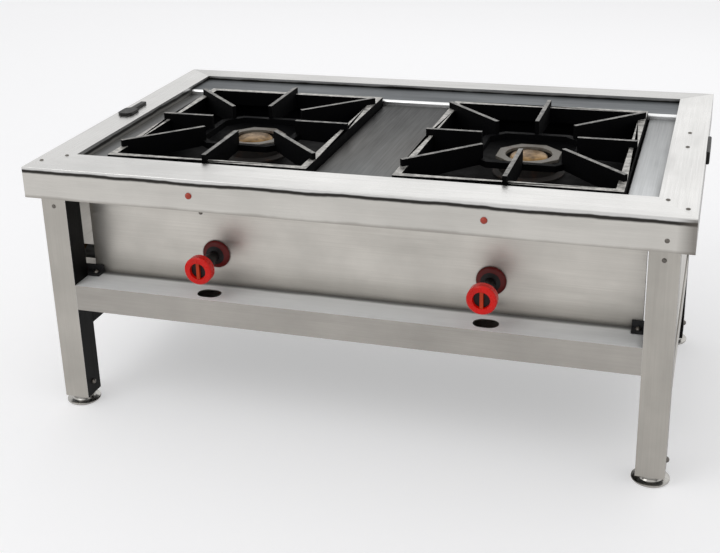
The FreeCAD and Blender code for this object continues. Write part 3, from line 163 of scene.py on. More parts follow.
class SteelSettings(bpy.types.PropertyGroup):
    """The folded sheet, the tubes and the deck."""

    rim: colour_property("Rim", "#c9c6c0", "Apron of the rim")
    # Also the painted highlight along the top edge of the apron.
    rim_top: colour_property("Rim top", "#cfcecc", "Upper face of the rim, polished by use")
    # Painted shadow: the dark line under the rim's folded edge.
    apron_shadow_line: colour_property("Apron line", "#161412", "Dark line under the edge of the rim's top")
    hem: colour_property("Lower hem", "#8a857e", "Dull lower hem of the rim's apron")
    right_apron: colour_property("Right apron", "#5f5a54", "Apron on the right side, which is duller")
    # Painted highlight: the near white of the ledge's front face, the front rail's top and the legs'
    # corners.
    step: colour_property("Bright edge", "#fafbfb", "Folded edges that show bright")
    panel: colour_property("Panels", "#c6c2bb", "Front, rear and side panels")
    tube: colour_property("Legs", "#b3afa8", "Legs and side rails")
    rail: colour_property("Rails", "#a8a49e", "Front faces of the front and rear rails")
    # Painted shadow on the front rail's top along the foot of the panel.
    seam: colour_property("Panel seam", "#3a3836", "Dirt on the front rail along the foot of the panel")
    deck: colour_property("Deck", "#5c5e5e", "Plate between the wells, dulled by heat")
    strip: colour_property("Side strips", "#b4b6b7", "Strips in front of and beside the wells")
    worn_strip: colour_property("Left strip", "#7e7f7f", "Strip beside the left well, dulled by heat")
    ledge: colour_property("Rear ledge", "#4b5054", "Raised ledge behind the wells")
    zinc: colour_property("Zinc", "#8f9294", "Inner bars, plates, pipe and clips")
    # Painted shade on the inner faces and undersides, and the dark steel of the rear legs.
    mill_and_shade: colour_property("Mill finish", "#161616", "Unpolished dark faces of the legs and side rails")
    foot: colour_property("Feet", "#a9a7a3", "Plated feet")
    screw: colour_property("Screws", "#6b6762", "Heads of the screws and bolts")
    fold_radius: length_property("Fold radius", 1.6, "Outer radius of the folded sheet")
    ledge_radius: length_property("Ledge fold", 5.0, "Outer radius of the rear ledge's front fold")
    tube_radius: length_property("Tube corner", 2.5, "Corner radius of the square tubes")
    grain: length_property("Brush lines", 1.6, "Distance between the brush lines that show")


class IronSettings(bpy.types.PropertyGroup):
    """Cast iron, enamel and brass."""

    support: colour_property("Pan supports", "#030304", "Black enamel on the cast pan supports")
    # Also the painted highlight on the tops of the pan supports.
    wear_and_shading: colour_property("Worn iron", "#a19f9b", "Bare grey iron where pots rub the enamel off")
    pan: colour_property("Spill pans", "#020203", "Black enamel on the spill pans")
    burner: colour_property("Burner body", "#2a2623", "Bare cast iron of the burners")
    ring: colour_property("Burner ring", "#6f6a62", "Machined top ring of the burners")
    brass: colour_property("Brass", "#86693f", "Burner caps, valves and inlet")
    cast_edge: length_property("Cast edge", 1.2, "Radius of the cast edges")
    casting_grain: length_property("Casting grain", 2.0, "Size of the sand grain on the castings")


class PlasticSettings(bpy.types.PropertyGroup):
    """Knobs, bezels, studs and grips."""

    knob: colour_property("Knobs", "#e01206", "Red of the knobs")
    # Painted highlight: the grip bar is painted orange.
    grip_bar_highlight: colour_property("Grip bar", "#c03a12", "Worn bar across the face of a knob")
    # Painted shade: the floor of the knob's recess is painted near black.
    recess: colour_property("Recess", "#16090a", "Dark recess in the face of a knob")
    bezel: colour_property("Bezels", "#5f0e0b", "Bezels behind the knobs")
    neck: colour_property("Necks", "#0f0b0b", "Sleeve and spindle between knob and panel")
    stud: colour_property("Studs", "#b03a26", "Domed studs on the apron")
    grip: colour_property("Side grips", "#1b1a19", "Grips on the sides of the rim")
    bracket: colour_property("Brackets", "#2a2a2b", "Brackets on the front rail")


class StudioSettings(bpy.types.PropertyGroup):
    """Camera, lamps and floor."""

    lens: FloatProperty(name="Lens", description="Focal length in millimetres", default=59.63, min=1)
    place: FloatVectorProperty(
        name="Camera", description="Place of the camera", subtype="TRANSLATION", unit="LENGTH",
        default=(0.62631, -2.17579, 1.1731))
    heading: FloatVectorProperty(
        name="Heading", description="Turn of the camera", subtype="EULER",
        default=[math.radians(angle) for angle in (69.3335, 1.8667, 18.0115)])
    shift: FloatVectorProperty(
        name="Shift", description="Shift of the lens", size=2, default=(0.0278, -0.0854))
    daylight: FloatProperty(
        name="Daylight", description="Strength of the light from all round", default=0.62, min=0)
    key_power: FloatProperty(name="Key lamp", description="Power of the large lamp", default=18, min=0)
    back_power: FloatProperty(name="Back lamp", description="Power of the lamp behind", default=7, min=0)
    floor: colour_property("Floor", "#e6e6e8", "Paper under the range")
    floor_glow: FloatProperty(
        name="Floor glow", description="How far the seen floor is whitened", default=0.36, min=0)


def settings(name):
    return getattr(bpy.context.scene, "pot_range_" + name)


# ---------------------------------------------------------------- materials

def add_node(tree, kind, sockets=None, **properties):
    """Add a node, set its properties, then fill or link its input sockets."""
    node = tree.nodes.new(kind)
    for name, value in properties.items():
        setattr(node, name, value)
    for name, value in (sockets or {}).items():
        if isinstance(value, bpy.types.NodeSocket):
            tree.links.new(value, node.inputs[name])
        else:
            node.inputs[name].default_value = value
    return node


def new_material(name):
    """A new material with its nodes and its shader, or only the material where the name is made already."""
    material = bpy.data.materials.get(name)
    if material:
        return material, None, None
    material = bpy.data.materials.new(name)
    material.use_nodes = True
    tree = material.node_tree
    return material, tree, tree.nodes["Principled BSDF"]


def shaded(colour, factor):
    return [min(1.0, part * factor) for part in colour[:3]] + [1.0]


def ramp(tree, value, low, high, out_low=0.0, out_high=1.0):
    """Map a value from one range to another, held at both ends."""
    node = add_node(tree, "ShaderNodeMapRange", {
        "Value": value, "From Min": low, "From Max": high, "To Min": out_low, "To Max": out_high})
    return node.outputs["Result"]


def blended(tree, factor, first, second):
    node = add_node(tree, "ShaderNodeMix", {0: factor, 6: first, 7: second}, data_type="RGBA")
    return node.outputs[2]


def object_place(tree):
    return add_node(tree, "ShaderNodeTexCoord").outputs["Object"]


def burner_distance(tree):
    """Distance in metres from the nearer burner's upright axis."""
    parts = add_node(tree, "ShaderNodeSeparateXYZ", {0: object_place(tree)})
    side = add_node(tree, "ShaderNodeMath", {0: parts.outputs["X"]}, operation="ABSOLUTE")
    across = add_node(tree, "ShaderNodeMath", {0: side.outputs[0], 1: BURNER.x}, operation="SUBTRACT")
    along = add_node(tree, "ShaderNodeMath", {0: parts.outputs["Y"], 1: BURNER.y}, operation="SUBTRACT")
    flat = add_node(tree, "ShaderNodeCombineXYZ", {"X": across.outputs[0], "Y": along.outputs[0]})
    return add_node(tree, "ShaderNodeVectorMath", {0: flat.outputs[0]}, operation="LENGTH").outputs["Value"]


def level(tree, axis):
    """One coordinate of the surface, in metres."""
    return add_node(tree, "ShaderNodeSeparateXYZ", {0: object_place(tree)}).outputs[axis]


def painted_corner_shade(tree, reach):
    """Painted shade: 1 in the inner corners, where ambient occlusion finds them shut in, falling to 0 a few
    millimetres out of them.
    """
    open_sky = add_node(tree, "ShaderNodeAmbientOcclusion", {"Distance": reach}, samples=8).outputs["AO"]
    return ramp(tree, open_sky, 0.3, 0.85, 1.0, 0.0)


def brushed_steel(
        name, colour, grain_axis, roughness=0.3, cloud=0.1, heat=0.0, corner_shade_strength=0.7,
        fade=None, bands=(), metal=1.0):
    """Stainless sheet with brush lines one way: fine streaks that stretch reflections along the grain.

    Real brush lines are about 0.2 mm apart, too fine to show here, so they are drawn coarser.
    fade is a place along Y where the steel starts to darken, one where it is darkest, and how dark.
    Each band is a coordinate, where its change begins and ends, a colour and a strength; bands paint shadow
    lines and highlights as well as darker tones.
    metal below 1 makes a face scatter the light of the whole room, which the painted highlight on the front
    rail's top uses.
    """
    material, tree, shader = new_material(name)
    if tree is None:
        return material
    spacing = settings("steel").grain
    stretch = [1 / spacing] * 3
    stretch["XYZ".index(grain_axis)] = 1 / (spacing * STREAK_LENGTH)
    place = object_place(tree)
    lines_at = add_node(tree, "ShaderNodeMapping", {"Vector": place, "Scale": stretch})
    lines = add_node(tree, "ShaderNodeTexNoise", {
        "Vector": lines_at.outputs[0], "Scale": 1.0, "Detail": 3.0, "Roughness": 0.6}).outputs["Fac"]
    clouds = add_node(tree, "ShaderNodeTexNoise", {
        "Vector": place, "Scale": CLOUDS, "Detail": 4.0, "Roughness": 0.55}).outputs["Fac"]
    smear_scale = [SMEARS_ALONG if axis == grain_axis else SMEARS_ACROSS for axis in "XYZ"]
    smears_at = add_node(tree, "ShaderNodeMapping", {"Vector": place, "Scale": smear_scale})
    smears = add_node(tree, "ShaderNodeTexNoise", {
        "Vector": smears_at.outputs[0], "Scale": 1.0, "Detail": 5.0, "Roughness": 0.6}).outputs["Fac"]
    cloudy = blended(
        tree, ramp(tree, clouds, 0.35, 0.68), shaded(colour, 1 - cloud), shaded(colour, 1 + cloud))
    streaked = blended(
        tree, ramp(tree, lines, 0.3, 0.7, 0.0, 0.35), cloudy, shaded(colour, 0.82))
    wear_and_shading = blended(tree, ramp(tree, smears, 0.52, 0.72, 0.0, 0.4), streaked, shaded(colour, 0.72))
    if heat:
        # Straw and blue heat tint on the steel nearest the flame.
        near = ramp(tree, burner_distance(tree), 0.16, 0.34, heat, 0.0)
        wear_and_shading = blended(tree, near, wear_and_shading, linear("#5d5348"))
    if fade:
        start, end, darkest = fade
        wear_and_shading = blended(tree, ramp(tree, level(tree, "Y"), start, end), wear_and_shading, shaded(colour, darkest))
    for axis, start, end, tint, strength in bands:
        wavy = add_node(tree, "ShaderNodeMath", {
            0: level(tree, axis), 1: ramp(tree, clouds, 0.3, 0.7, -0.002, 0.002)}, operation="ADD")
        wear_and_shading = blended(tree, ramp(tree, wavy.outputs[0], start, end, 0.0, strength), wear_and_shading, tint)
    # Painted shade: the colour darkens towards #211f1d in the inner corners that ambient occlusion finds.
    if corner_shade_strength:
        dirt_and_shade = add_node(tree, "ShaderNodeMath", {0: painted_corner_shade(tree, 0.02), 1: corner_shade_strength}, operation="MULTIPLY")
        wear_and_shading = blended(tree, dirt_and_shade.outputs[0], wear_and_shading, linear("#211f1d"))
    tree.links.new(wear_and_shading, shader.inputs["Base Color"])
    shader.inputs["Metallic"].default_value = metal
    rough = add_node(tree, "ShaderNodeMath", {
        0: ramp(tree, lines, 0.3, 0.7, -0.05, 0.07),
        1: ramp(tree, smears, 0.4, 0.7, roughness, roughness + 0.1)}, operation="ADD")
    tree.links.new(rough.outputs[0], shader.inputs["Roughness"])
    bump = add_node(tree, "ShaderNodeBump", {"Height": lines, "Strength": 0.12, "Distance": 0.0003})
    tree.links.new(bump.outputs["Normal"], shader.inputs["Normal"])
    return material


def plated_steel(name, colour, roughness):
    """Zinc or nickel plate on steel: dull, with a faint spangle."""
    material, tree, shader = new_material(name)
    if tree is None:
        return material
    place = object_place(tree)
    spangle = add_node(tree, "ShaderNodeTexVoronoi", {
        "Vector": place, "Scale": SPANGLE}).outputs["Distance"]
    dirt_and_shade = add_node(tree, "ShaderNodeTexNoise", {
        "Vector": place, "Scale": PLATING_DIRT, "Detail": 4.0}).outputs["Fac"]
    base = blended(tree, ramp(tree, spangle, 0.0, 0.8), shaded(colour, 0.9), shaded(colour, 1.08))
    dirty = blended(tree, ramp(tree, dirt_and_shade, 0.5, 0.75, 0.0, 0.5), base, shaded(colour, 0.55))
    tree.links.new(dirty, shader.inputs["Base Color"])
    shader.inputs["Metallic"].default_value = 1.0
    rough = ramp(tree, dirt_and_shade, 0.3, 0.7, roughness - 0.06, roughness + 0.12)
    tree.links.new(rough, shader.inputs["Roughness"])
    return material


def black_enamel(name, colour, roughness, grain, bump_height, soot=0.0):
    """Vitreous enamel on iron: black, baked dull, follows the casting's grain, with soot near the flame."""
    material, tree, shader = new_material(name)
    if tree is None:
        return material
    place = object_place(tree)
    sand = add_node(tree, "ShaderNodeTexNoise", {
        "Vector": place, "Scale": 1 / grain, "Detail": 4.0, "Roughness": 0.6}).outputs["Fac"]
    stains = add_node(tree, "ShaderNodeTexNoise", {
        "Vector": place, "Scale": ENAMEL_STAINS, "Detail": 6.0, "Roughness": 0.65}).outputs["Fac"]
    base = blended(tree, ramp(tree, stains, 0.45, 0.7), colour, shaded(colour, 2.1))
    if soot:
        near = ramp(tree, burner_distance(tree), 0.05, 0.16, soot, 0.0)
        base = blended(tree, near, base, linear("#3a3430"))
    tree.links.new(base, shader.inputs["Base Color"])
    tree.links.new(ramp(tree, stains, 0.35, 0.7, roughness, roughness + 0.22), shader.inputs["Roughness"])
    shader.inputs["Specular IOR Level"].default_value = ENAMEL_GLOSS
    bump = add_node(tree, "ShaderNodeBump", {"Height": sand, "Strength": 0.5, "Distance": bump_height})
    tree.links.new(bump.outputs["Normal"], shader.inputs["Normal"])
    return material


def worn_iron(name, bare, enamel):
    """The tops of a casting, where pots have rubbed the enamel down to grey iron in patches, painted
    lighter as a highlight.
    """
    material, tree, shader = new_material(name)
    if tree is None:
        return material
    place = object_place(tree)
    rubbed = add_node(tree, "ShaderNodeTexNoise", {
        "Vector": place, "Scale": RUBBED_PATCHES, "Detail": 5.0, "Roughness": 0.6}).outputs["Fac"]
    pits = add_node(tree, "ShaderNodeTexNoise", {
        "Vector": place, "Scale": PITS, "Detail": 3.0, "Roughness": 0.6}).outputs["Fac"]
    patchy = blended(tree, ramp(tree, rubbed, 0.36, 0.6, 0.15, 1.0), enamel, bare)
    pitted = blended(tree, ramp(tree, pits, 0.5, 0.7, 0.0, 0.6), patchy, enamel)
    tree.links.new(pitted, shader.inputs["Base Color"])
    tree.links.new(ramp(tree, rubbed, 0.36, 0.6, 0.4, 0.55), shader.inputs["Roughness"])
    shader.inputs["Metallic"].default_value = 0.5
    bump = add_node(tree, "ShaderNodeBump", {"Height": pits, "Strength": 0.4, "Distance": 0.0003})
    tree.links.new(bump.outputs["Normal"], shader.inputs["Normal"])
    return material


def bare_cast_iron(name, colour, roughness):
    """Sand-cast iron, browned by heat: matt, grainy, with rust in patches."""
    material, tree, shader = new_material(name)
    if tree is None:
        return material
    place = object_place(tree)
    grain = settings("iron").casting_grain
    sand = add_node(tree, "ShaderNodeTexNoise", {
        "Vector": place, "Scale": 1 / grain, "Detail": 5.0, "Roughness": 0.65}).outputs["Fac"]
    rust = add_node(tree, "ShaderNodeTexNoise", {
        "Vector": place, "Scale": RUST, "Detail": 6.0}).outputs["Fac"]
    base = blended(tree, ramp(tree, sand, 0.3, 0.7), shaded(colour, 0.7), shaded(colour, 1.3))
    rusty = blended(tree, ramp(tree, rust, 0.54, 0.7, 0.0, 0.6), base, linear("#4a2f1f"))
    tree.links.new(rusty, shader.inputs["Base Color"])
    shader.inputs["Roughness"].default_value = roughness
    bump = add_node(tree, "ShaderNodeBump", {"Height": sand, "Strength": 0.6, "Distance": 0.0006})
    tree.links.new(bump.outputs["Normal"], shader.inputs["Normal"])
    return material


def turned_brass(name, colour, tarnish):
    """Turned brass that heat has browned in patches."""
    material, tree, shader = new_material(name)
    if tree is None:
        return material
    place = object_place(tree)
    patches = add_node(tree, "ShaderNodeTexNoise", {
        "Vector": place, "Scale": TARNISH, "Detail": 5.0, "Roughness": 0.6}).outputs["Fac"]
    base = blended(tree, ramp(tree, patches, 0.4, 0.65, 0.0, tarnish), colour, linear("#3c2c1c"))
    tree.links.new(base, shader.inputs["Base Color"])
    shader.inputs["Metallic"].default_value = 1.0
    tree.links.new(ramp(tree, patches, 0.3, 0.7, 0.25, 0.5), shader.inputs["Roughness"])
    return material


def moulded_plastic(name, colour, roughness, coat=0.0):
    """Moulded phenolic plastic: an even colour under a soft gloss, with fine handling scratches."""
    material, tree, shader = new_material(name)
    if tree is None:
        return material
    place = object_place(tree)
    marks = add_node(tree, "ShaderNodeTexNoise", {
        "Vector": place, "Scale": HANDLING, "Detail": 4.0, "Roughness": 0.6}).outputs["Fac"]
    faded = add_node(tree, "ShaderNodeTexNoise", {
        "Vector": place, "Scale": FADING, "Detail": 2.0}).outputs["Fac"]
    base = blended(tree, ramp(tree, faded, 0.35, 0.65), shaded(colour, 0.86), shaded(colour, 1.1))
    tree.links.new(base, shader.inputs["Base Color"])
    tree.links.new(ramp(tree, marks, 0.35, 0.7, roughness, roughness + 0.12), shader.inputs["Roughness"])
    shader.inputs["Specular IOR Level"].default_value = PLASTIC_GLOSS
    shader.inputs["Coat Weight"].default_value = coat
    bump = add_node(tree, "ShaderNodeBump", {"Height": marks, "Strength": 0.15, "Distance": 0.0002})
    tree.links.new(bump.outputs["Normal"], shader.inputs["Normal"])
    return material


# ---------------------------------------------------------------- pieces

def deselect_all():
    if bpy.context.object and bpy.context.object.mode != "OBJECT":
        bpy.ops.object.mode_set(mode="OBJECT")
    bpy.ops.object.select_all(action="DESELECT")


def make_active(piece):
    deselect_all()
    piece.select_set(True)
    bpy.context.view_layer.objects.active = piece


def finish_piece(piece, node):
    """The piece stands for its node and rides on the node's body."""
    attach(piece, frame["nodes"][node]["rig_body"])
    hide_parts(node)


def level_edge(axis, place, height):
    """A test for the points on the edge that runs at a place along an axis and at a height."""
    return lambda point: abs(point[axis] - place) < TOUCHING and abs(point.z - height) < TOUCHING


def round_edges(piece, chosen, radius):
    """Round the edges whose two ends both pass a test of their place."""
    make_active(piece)
    bpy.ops.object.mode_set(mode="EDIT")
    bpy.ops.mesh.select_mode(type="EDGE")
    bpy.ops.mesh.select_all(action="DESELECT")
    bpy.ops.object.mode_set(mode="OBJECT")
    points = [chosen(vertex.co) for vertex in piece.data.vertices]
    for edge in piece.data.edges:
        edge.select = points[edge.vertices[0]] and points[edge.vertices[1]]
    bpy.ops.object.mode_set(mode="EDIT")
    bpy.ops.mesh.bevel(offset=radius, segments=FOLD_SEGMENTS, affect="EDGES")
    bpy.ops.object.mode_set(mode="OBJECT")


def paint_faces(piece, material, chosen):
    """Give a second material to the faces that pass a test of their middle and their normal."""
    piece.data.materials.append(material)
    number = len(piece.data.materials) - 1
    for face in piece.data.polygons:
        if chosen(face.center, face.normal):
            face.material_index = number


def merged_copy(node, name, material):
    """A copy of a node in one material, with its loose triangles merged to whole flat faces."""
    make_active(frame["nodes"][node])
    bpy.ops.object.duplicate()
    piece = bpy.context.active_object
    piece.name = name
    piece.parent = None
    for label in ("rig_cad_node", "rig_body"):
        del piece[label]
    piece.data.materials.clear()
    piece.data.materials.append(material)
    for face in piece.data.polygons:
        face.material_index = 0
    make_active(piece)
    bpy.ops.object.mode_set(mode="EDIT")
    bpy.ops.mesh.select_mode(type="VERT")
    bpy.ops.mesh.select_all(action="SELECT")
    bpy.ops.mesh.remove_doubles(threshold=MERGE_DISTANCE)
    bpy.ops.mesh.dissolve_limited(angle_limit=FLAT_ANGLE)
    bpy.ops.object.mode_set(mode="OBJECT")
    if piece.data.has_custom_normals:
        bpy.ops.mesh.customdata_custom_splitnormals_clear()
    return piece


def softened(node, name, radius, material, segments=2, fold=None, fold_radius=0.0):
    """A copy of a node with its edges rounded, as folding, casting or machining leaves them.

    fold tests the place of the points on an edge that is folded to its own, larger radius.
    """
    piece = merged_copy(node, name, material)
    if fold:
        round_edges(piece, fold, fold_radius)
    if radius:
        bevel = piece.modifiers.new("rounded_edges", "BEVEL")
        bevel.width = radius
        bevel.segments = segments
        bevel.limit_method = "ANGLE"
        bevel.angle_limit = SHARP_ANGLE
        bevel.harden_normals = False
        bpy.ops.object.modifier_apply(modifier=bevel.name)
    bpy.ops.object.shade_smooth_by_angle(angle=SHARP_ANGLE)
    # The wide flat faces keep their own normals, so the rounded edges leave no streaks in them.
    weighted = piece.modifiers.new("flat_faces_stay_flat", "WEIGHTED_NORMAL")
    weighted.keep_sharp = True
    bpy.ops.object.modifier_apply(modifier=weighted.name)
    finish_piece(piece, node)
    return piece


class RimOperator(bpy.types.Operator):
    """Finish the four folded members of the rim."""

    bl_idname = "pot_range.rim"
    bl_label = "Rim"

    def execute(self, context):
        steel = settings("steel")
        top_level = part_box("rim_front")[1].z
        right_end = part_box("rim_front")[1].x
        # Painted shadow line under a painted highlight on the top's edge; the lower hem and right side are
        # darker.
        bands = [
            ("Z", top_level - 0.0135, top_level - 0.0105, steel.apron_shadow_line, 0.95),
            ("Z", top_level - 0.0065, top_level - 0.0045, steel.rim_top, 1.0),
            ("Z", top_level - 0.054, top_level - 0.0585, steel.hem, 0.6),
            ("X", right_end - 0.03, right_end - 0.004, steel.right_apron, 0.7),
        ]
        for side, grain, axis, outer_end in RIM_MEMBERS:
            apron = brushed_steel(
                f"brushed_stainless_apron_{grain}", steel.rim, grain, 0.3, 0.05, bands=bands)
            # Painted shade: the rear member's top is painted darker than the other tops.
            colour = shaded(steel.rim_top, 0.78) if side == "rear" else steel.rim_top
            top = brushed_steel(f"brushed_stainless_rim_top_{side}", colour, grain, 0.26, 0.05, corner_shade_strength=0.4)
            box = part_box(f"rim_{side}")
            piece = softened(
                f"rim_{side}", f"folded_rim_{side}", HEM_EDGE, apron,
                fold=level_edge(axis, box[outer_end][axis], box[1].z), fold_radius=steel.fold_radius)
            paint_faces(piece, top, lambda centre, normal: normal.z > 0.2)
        return {"FINISHED"}


class DeckOperator(bpy.types.Operator):
    """Finish the plates round the wells."""

    bl_idname = "pot_range.deck"
    bl_label = "Deck"

    def execute(self, context):
        steel = settings("steel")
        # The plates darken towards the rear: the strips a little, and the plate between the wells almost to
        # black.
        front, rear = (corner.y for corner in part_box("middle_plate"))
        fade = (front + 0.05, rear, 0.4)
        dark_rear_fade = (front - 0.03, rear - 0.06, 0.06)
        deck = brushed_steel("brushed_stainless_deck", steel.deck, "Y", 0.4, 0.08, heat=0.5, fade=dark_rear_fade)
        strip = brushed_steel("brushed_stainless_strip", steel.strip, "Y", 0.32, 0.06, fade=fade)
        wear_and_shading = brushed_steel("brushed_stainless_worn_strip", steel.worn_strip, "Y", 0.38, 0.1, fade=fade)
        front_strip = brushed_steel("brushed_stainless_front_strip", steel.strip, "X", 0.3, 0.05)
        ledge = brushed_steel("brushed_stainless_ledge", steel.ledge, "X", 0.36, 0.1)
        # Painted highlight: the rear ledge's front face is painted near white.
        riser = brushed_steel("brushed_stainless_riser", steel.step, "X", 0.3, 0.03, corner_shade_strength=0.2)
        softened("middle_plate", "deck_middle_plate", PLATE_EDGE, deck)
        softened("front_strip", "deck_front_strip", PLATE_EDGE, front_strip)
        low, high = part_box("rear_ledge")
        piece = softened(
            "rear_ledge", "deck_rear_ledge", PLATE_EDGE, ledge,
            fold=level_edge(1, low.y, high.z), fold_radius=steel.ledge_radius)
        paint_faces(piece, riser, lambda centre, normal: normal.y < -0.1)
        softened("side_strip_left", "deck_strip_left", PLATE_EDGE, wear_and_shading)
        softened("side_strip_right", "deck_strip_right", PLATE_EDGE, strip)
        return {"FINISHED"}


class TubeOperator(bpy.types.Operator):
    """Finish the legs, the rails and the panels between them."""

    bl_idname = "pot_range.tubes"
    bl_label = "Legs, rails and panels"

    def execute(self, context):
        steel = settings("steel")
        legs = brushed_steel("brushed_stainless_leg", steel.tube, "Z", 0.34, 0.08)
        rails = brushed_steel("brushed_stainless_rail", steel.rail, "X", 0.34, 0.08)
        rail_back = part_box("front_rail")[1].y
        # Painted shadow on the rail's top along the foot of the panel.
        seam = [("Y", rail_back - 0.014, rail_back - 0.006, steel.seam, 0.75)]
        # Painted highlight: the front rail's top is near white and scatters the room's light.
        rail_top = brushed_steel(
            "stainless_rail_top_highlight", steel.step, "X", 0.5, 0.03, corner_shade_strength=0.6, bands=seam, metal=0.0)
        side_rails = brushed_steel("brushed_stainless_side_rail", steel.tube, "Y", 0.34, 0.08)
        panels = brushed_steel("brushed_stainless_panel", steel.panel, "X", 0.34, 0.09)
        side_panels = brushed_steel("brushed_stainless_side_panel", steel.panel, "Y", 0.34, 0.09)
        corner = brushed_steel("stainless_corner_highlight", steel.step, "Z", 0.22, 0.02, corner_shade_strength=0.3)
        # Dark steel for the rear legs, and painted shade on the inner faces and undersides.
        dark = brushed_steel("dark_mill_finish_steel", steel.mill_and_shade, "Z", 0.5, 0.1)
        # Painted shade: the legs' outer sides are a darker copy of the leg steel.
        outer = brushed_steel("brushed_stainless_leg_side", shaded(steel.tube, 0.55), "Z", 0.36, 0.1)
        radius = steel.tube_radius
        # The front legs have a painted highlight on their rounded corners and painted shade on their outer
        # and inner sides.
        for place in CORNERS:
            base = legs if place.startswith("front") else dark
            piece = softened(f"leg_{place}", f"square_leg_{place}", radius, base, TUBE_SEGMENTS)
            inward = 1 if place.endswith("left") else -1
            if base is legs:
                paint_faces(
                    piece, corner, lambda centre, normal: 0.2 < abs(normal.x) < 0.98 and normal.y < -0.2)
                paint_faces(piece, dark, lambda centre, normal: normal.x * inward > 0.8)
                paint_faces(piece, outer, lambda centre, normal: normal.x * inward < -0.98)
        for side in ("front", "rear"):
            piece = softened(f"{side}_rail", f"box_rail_{side}", radius, rails, TUBE_SEGMENTS)
            if side == "front":
                paint_faces(piece, rail_top, lambda centre, normal: normal.z > 0.3)
            softened(f"{side}_panel", f"sheet_panel_{side}", SHEET_EDGE, panels)
        for side, sense in SIDES:
            piece = softened(f"side_rail_{side}", f"box_rail_{side}", radius, side_rails, TUBE_SEGMENTS)
            # Painted shade on the side rails' inner faces and undersides.
            paint_faces(piece, dark, lambda centre, normal: normal.x * sense < -0.5 or normal.z < -0.5)
            softened(f"side_panel_{side}", f"sheet_panel_{side}", SHEET_EDGE, side_panels)
        return {"FINISHED"}


class FootOperator(bpy.types.Operator):
    """Finish the four round feet."""

    bl_idname = "pot_range.feet"
    bl_label = "Feet"

    def execute(self, context):
        foot = plated_steel("nickel_plated_foot", settings("steel").foot, 0.24)
        for place in CORNERS:
            softened(f"foot_{place}", f"round_foot_{place}", NO_ROUNDING, foot)
        return {"FINISHED"}


class SupportOperator(bpy.types.Operator):
    """Finish the cast pan supports and the spill pans under them."""

    bl_idname = "pot_range.supports"
    bl_label = "Pan supports and spill pans"

    def execute(self, context):
        iron = settings("iron")
        cast = black_enamel("black_enamelled_casting", iron.support, 0.6, iron.casting_grain, 0.0007)
        pan = black_enamel("black_enamelled_sheet", iron.pan, 0.45, 0.012, 0.0003, soot=0.06)
        # Rubbed patches and a painted highlight: grey iron on the fin tops, lighter on the frame tops.
        wear_and_shading = worn_iron("worn_cast_iron", iron.wear_and_shading, iron.support)
        bare = worn_iron("worn_cast_iron_frame", shaded(iron.wear_and_shading, 1.8), shaded(iron.wear_and_shading, 0.4))
        for side, _ in SIDES:
            piece = softened(f"pan_support_{side}", f"cast_pan_support_{side}", iron.cast_edge, cast)
            frame_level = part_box(f"burner_cap_{side}")[1].z + FRAME_OVER_CAP
            fin_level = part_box(f"pan_support_{side}")[1].z - FIN_TOP_DEPTH
            paint_faces(piece, bare, lambda centre, normal: normal.z > 0.9 and centre.z > frame_level)
            paint_faces(piece, wear_and_shading, lambda centre, normal: normal.z > 0.9 and centre.z > fin_level)
            softened(f"spill_pan_{side}", f"enamel_spill_pan_{side}", HEM_EDGE, pan)
        return {"FINISHED"}


class BurnerOperator(bpy.types.Operator):
    """Finish the burners: cast body, machined ring and brass cap."""

    bl_idname = "pot_range.burners"
    bl_label = "Burners"

    def execute(self, context):
        iron = settings("iron")
        body = bare_cast_iron("bare_cast_iron_burner", iron.burner, 0.72)
        ring = bare_cast_iron("machined_cast_iron_ring", iron.ring, 0.5)
        brass = turned_brass("heat_browned_brass_cap", iron.brass, 0.7)
        for side, _ in SIDES:
            softened(f"burner_body_{side}", f"cast_burner_{side}", BURNER_EDGE, body)
            softened(f"burner_ring_{side}", f"burner_top_ring_{side}", BURNER_EDGE, ring)
            softened(f"burner_cap_{side}", f"brass_burner_cap_{side}", SMALL_BRASS_EDGE, brass)
        return {"FINISHED"}


